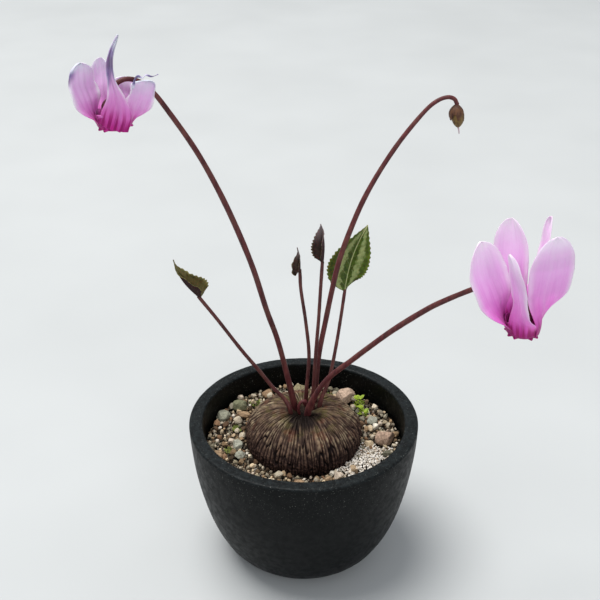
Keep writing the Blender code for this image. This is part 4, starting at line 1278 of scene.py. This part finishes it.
def add_leaf(name, shape, finish, slot, seed):
    """A leaf's blade from its left edge over the midrib to its right edge, row by row to the tip."""
    shape = USUAL_LEAF | shape
    base, tip, face = Vector(shape["base"]), Vector(shape["tip"]), Vector(shape["face"])
    length = (tip - base).length
    along = (tip - base).normalized()
    face = (face - along * face.dot(along)).normalized()
    side = along.cross(face)
    size = (LEAF_ROWS, 2 * HALF_COLUMNS + 1)
    grid = np.zeros((*size, 3))
    thick, shares, wide, rib = np.zeros((4, *size))
    for i in range(size[0]):
        share = 0.012 + 0.982 * i / (LEAF_ROWS - 1)
        arch = math.sin(math.pi * share)
        for j in range(size[1]):
            t = j / HALF_COLUMNS - 1
            half = 0 if t < 0 else 1
            width = leaf_width(shape, half, share)
            edge = abs(t) ** 6 * (leaf_tooth(shape, half, share) - 0.2) * min(0.75, width * 0.22)
            fold = math.radians(shape["folds"][half]) * smooth(0, FULL_FOLD_WIDTH, width)
            direction = side * math.copysign(math.cos(fold), t) + face * math.sin(fold)
            back = shape["lobes"][half] * math.exp(-(share / LOBE_REACH) ** 2) * abs(t) ** 1.2
            spine = base + along * length * (share - back)
            spine += side * shape["aside"] * arch - face * shape["bow"] * arch
            normal = (direction.cross(along) * math.copysign(1, t)).normalized()
            stand, vein = leaf_relief(half, share, t, width, seed)
            midrib = math.exp(-(t * width / 0.28) ** 2)
            grid[i, j] = spine + direction * (width * abs(t) + edge) + normal * stand
            thick[i, j] = 0.24 - 0.10 * abs(t) + 0.30 * midrib * (1 - 0.7 * share)
            shares[i, j], wide[i, j], rib[i, j] = share, abs(t), max(vein, midrib)
    points, faces = thin_body(grid, thick)
    count = size[0] * size[1]
    first_side_up = Vector(points[count // 2] - points[count + count // 2]).dot(face) > 0
    under = np.repeat([0.0, 1.0] if first_side_up else [1.0, 0.0], count)
    values = {"along": twice(shares), "across": twice(wide), "rib": twice(rib), "under": under}
    settle(add_mesh(name + "_blade", points, faces, finish, values), slot, name)


# ---------------------------------------------------------------- seedlings and moss

def leaflet(foot, way, length, width, tint, rows=12, columns=7):
    """A small oval leaf as a thin body, with its tint at each point."""
    way = way.normalized()
    side = way.cross(Vector((0, 0, 1))).normalized()
    up = side.cross(way)
    grid = np.zeros((rows, columns, 3))
    for i in range(rows):
        s = i / (rows - 1)
        w = max(width * math.sin(math.pi * min(0.04 + s * 0.94, 1.0)) ** 0.75, 0.02)
        for j in range(columns):
            t = 2 * j / (columns - 1) - 1
            lift = 0.25 * w * t * t - 0.18 * length * s * s
            grid[i, j] = foot + way * length * s + side * w * t + up * lift
    points, faces = thin_body(grid, np.full((rows, columns), 0.12))
    return points, faces, [tint] * len(points)


def add_seedlings():
    """Two seedlings, each a tuft of leaflets that rise in a spiral."""
    draw = random.Random(4)
    for name in ("sprout_back", "sprout_front"):
        low, high = low_high(name)
        reach = min(high.x - low.x, high.y - low.y, 3.2)
        leaves = []
        for k in range(15):
            a = k * 2.4
            level = draw.uniform(0.0, 0.95)
            foot = middle_of(name, low.z + (high.z - low.z) * level * 0.8) + spoke(a, 0.35)
            way = spoke(a, 1.0, 0.5 + 0.9 * level)
            length, width = reach * draw.uniform(0.5, 0.7), draw.uniform(0.6, 0.95)
            leaves.append(leaflet(foot, way, length, width, draw.random()))
        points, faces, tints = joined(leaves)
        settle(add_mesh(name + "_leaves", points, faces, SPROUT, {"tint": tints}), "sprout_green", name)


MOSS_CUSHIONS = [(-6.0, -27.4, 2.4), (2.4, -28.4, 2.2), (12.6, -23.6, 1.6), (-24.5, -6.0, 1.7),
                 (-16.5, 21.5, 2.0), (-22.5, 6.2, 1.4), (9.4, 26.0, 1.6)]     # x, y and radius


def add_moss():
    """Small cushions of moss among the grit."""
    draw = random.Random(14)
    ground = surface("soil", lowest=SOIL_LEVEL)
    leaves = []
    for x, y, spread in MOSS_CUSHIONS:
        for _ in range(60):
            a, r = draw.uniform(0, 2 * math.pi), spread * math.sqrt(draw.random())
            px, py = x + r * math.cos(a), y + r * math.sin(a)
            z = ground(px, py)
            if z is None or math.hypot(px, py) > inner_radius(41) - 0.9:
                continue
            foot = Vector((px, py, z + 0.55))
            way = Vector((draw.uniform(-1, 1), draw.uniform(-1, 1), 1.4))
            length, width = draw.uniform(0.5, 1.1), draw.uniform(0.14, 0.26)
            leaves.append(leaflet(foot, way, length, width, draw.random(), 6, 3))
    points, faces, tints = joined(leaves)
    settle(add_mesh("moss", points, faces, MOSS, {"tint": tints}), "sprout_green")


# ---------------------------------------------------------------- stage

CAMERA_PLACE = (-0.0012, -0.2743, 0.2433)      # metres
CAMERA_TILT = 61.51                            # degrees from straight down
LENS, SENSOR = 60.83, 36.0
FLOOR_HALF = 6.0                               # metres


def add_camera():
    """The camera as worked out from the photo's perspective."""
    data = bpy.data.cameras.new("camera")
    data.lens = LENS
    data.sensor_width = SENSOR
    data.clip_start, data.clip_end = 0.01, 20.0
    camera = bpy.data.objects.new("camera", data)
    camera.location = CAMERA_PLACE
    camera.rotation_euler = (math.radians(CAMERA_TILT), 0, 0)
    bpy.context.scene.collection.objects.link(camera)
    bpy.context.scene.camera = camera


def add_lamp(name, place, aim, size, power, colour):
    """A round soft lamp; its places and size are in metres."""
    data = bpy.data.lights.new(name, "AREA")
    data.shape = "DISK"
    data.size = size
    data.energy = power
    data.color = colour
    lamp = bpy.data.objects.new(name, data)
    lamp.location = place
    lamp.rotation_mode = "QUATERNION"
    lamp.rotation_quaternion = (Vector(aim) - Vector(place)).to_track_quat("-Z", "Y")
    bpy.context.scene.collection.objects.link(lamp)


def add_stage():
    """A pale floor, a soft lamp overhead, a weak one in front and an even sky."""
    mesh = bpy.data.meshes.new("floor")
    corners = [(-1, -1), (1, -1), (1, 1), (-1, 1)]
    mesh.from_pydata([(x * FLOOR_HALF, y * FLOOR_HALF, 0) for x, y in corners], [], [(0, 1, 2, 3)])
    mesh.materials.append(floor_finish())
    floor = bpy.data.objects.new("floor", mesh)
    bpy.context.scene.collection.objects.link(floor)
    world = bpy.data.worlds.new("studio")
    world.use_nodes = True
    sky = world.node_tree.nodes["Background"]
    sky.inputs["Color"].default_value = (0.92, 0.96, 1.0, 1)
    sky.inputs["Strength"].default_value = 0.54
    bpy.context.scene.world = world
    add_lamp("overhead", (-0.60, 0.25, 2.30), (0, 0, 0.05), 1.6, 66.0, (1.0, 0.98, 0.95))
    add_lamp("front_fill", (0.35, -0.9, 0.55), (0, 0, 0.08), 0.7, 2.5, (0.96, 0.98, 1.0))
    bpy.context.scene.view_settings.view_transform = "Standard"


# ---------------------------------------------------------------- assembly

POT = pot_finish()
GRIT = grit_finish("potting_grit", GRIT_TINTS)
# The fines are a darker copy of the grit: painted shade between the larger grains, partly damp fines.
GRIT_FINES = grit_finish("grit_fines", [(place, tuple(FINES_SHADE * c for c in tint))
                                        for place, tint in GRIT_TINTS])
STONE_BEIGE = grit_finish("stone_beige", evenly((146, 122, 98), (176, 152, 124), (158, 128, 102)), 0.8)
STONE_PINK = grit_finish("stone_pink", evenly((206, 182, 164), (182, 154, 136)), 0.9)
STONE_GREY = grit_finish("stone_grey", evenly((146, 146, 130), (176, 178, 166), (128, 130, 104)), 0.8)
STONE_CREAM = grit_finish("stone_cream", evenly((196, 184, 156), (156, 148, 114)), 0.8)
STONE_SKINS = {"stone_back_right": STONE_PINK, "stone_right": STONE_PINK, "stone_back_centre": STONE_CREAM,
               "stone_back_left": STONE_GREY, "stone_left_pale": STONE_GREY, "stone_left_grey": STONE_GREY,
               "stone_left_grey_low": STONE_GREY, "stone_right_small": STONE_GREY}
PERLITE = grit_finish("perlite_white", evenly((238, 230, 218), (254, 250, 244), (222, 208, 190)), 0.3)
CORK = tuber_finish()
ROOTS = plain_plant_finish("root_skin", (70, 52, 40), (132, 106, 80), 0.8)
FLOWER_STALK_SKIN = stalk_finish("flower_stalk", (54, 16, 19), (80, 29, 31), (106, 48, 47))
LEAF_STALK_SKIN = stalk_finish("leaf_stalk", (52, 19, 20), (78, 33, 33), (104, 56, 50))
FRESH = petal_finish(
    "petal_fresh",
    stops=[(0.00, (150, 0, 98)), (0.05, (176, 18, 130)), (0.12, (200, 66, 166)), (0.22, (220, 116, 198)),
           (0.40, (238, 160, 226)), (0.65, (246, 186, 242)), (0.88, (249, 208, 248)),
           (1.00, (252, 226, 250))],
    edge=(250, 220, 248), vein=(212, 106, 200), foot=(146, 0, 96), dried=(166, 134, 172), streaked=0.22)
FADING = petal_finish(
    "petal_fading",
    stops=[(0.00, (188, 16, 132)), (0.08, (200, 64, 160)), (0.24, (208, 122, 190)),
           (0.45, (216, 166, 212)), (0.70, (212, 176, 216)), (1.00, (222, 202, 232))],
    edge=(240, 226, 244), vein=(192, 108, 184), foot=(146, 0, 100), dried=(112, 106, 146), streaked=0.30)
STREAKS = (1.0, 1.0, 0.3)      # stretches a feature along Z
MAGENTA = plain_plant_finish("corolla_magenta", (84, 2, 58), (150, 30, 120), 0.5, 0.5)
ANTHER = plain_plant_finish("anther_yellow", (150, 112, 40), (206, 170, 74))
CALYX = plain_plant_finish("calyx_brown", (52, 24, 20), (112, 74, 46), 0.5, 1.4, STREAKS)
CALYX_DARK = plain_plant_finish("calyx_maroon", (44, 12, 22), (84, 34, 40))
POD = plain_plant_finish("seed_pod_brown", (66, 44, 24), (140, 112, 58), 0.5, 1.3, STREAKS)
STYLE = plain_plant_finish("style_pink", (164, 124, 136), (206, 180, 188))
GREEN_LEAF = leaf_finish("leaf_green", top=(70, 92, 18), vein=(200, 204, 146), band=(152, 166, 108),
                         underside=(84, 62, 58), edge=(104, 124, 36), marbling=0.8)
MAROON_LEAF = leaf_finish("leaf_maroon", top=(50, 36, 31), vein=(88, 66, 54), band=(72, 60, 52),
                          underside=(58, 41, 42), edge=(98, 90, 56), marbling=0.5, gloss=0.12,
                          bloom=(134, 120, 122))
OLIVE_LEAF = leaf_finish("leaf_olive", top=(98, 94, 54), vein=(134, 128, 88), band=(120, 112, 74),
                         underside=(48, 30, 29), edge=(142, 140, 86), marbling=0.6, gloss=0.12)
LEAF_SKINS = {"leaf_left": OLIVE_LEAF, "leaf_right": GREEN_LEAF}
SPROUT = plain_plant_finish("sprout_green", (92, 120, 26), (176, 196, 70), 0.5, 0.9)
MOSS = plain_plant_finish("moss_green", (70, 84, 34), (138, 146, 72), 0.8, 0.8)
DRAINAGE = plain_plant_finish("drainage_grit", (110, 98, 80), (176, 164, 140), 0.9, 0.5)

for node, finish in (("soil", soil_finish()), ("drainage_layer", DRAINAGE)):
    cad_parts[node].data.materials.clear()
    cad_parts[node].data.materials.append(finish)
add_camera()
add_stage()
add_pot()
add_grit()
add_stones()
add_perlite()
add_tuber()
add_roots()
add_stalks()
add_new_bud()
add_flower("right", RIGHT_PETALS, FRESH, "petal_fresh")
add_flower("left", LEFT_PETALS, FADING, "petal_fading")
add_seed_pod()
for k, (leaf, form) in enumerate(LEAVES.items()):
    skin = LEAF_SKINS.get(leaf, MAROON_LEAF)
    add_leaf(leaf, form, skin, "leaf_green" if skin == GREEN_LEAF else "leaf_maroon", k * 3.1)
add_seedlings()
add_moss()
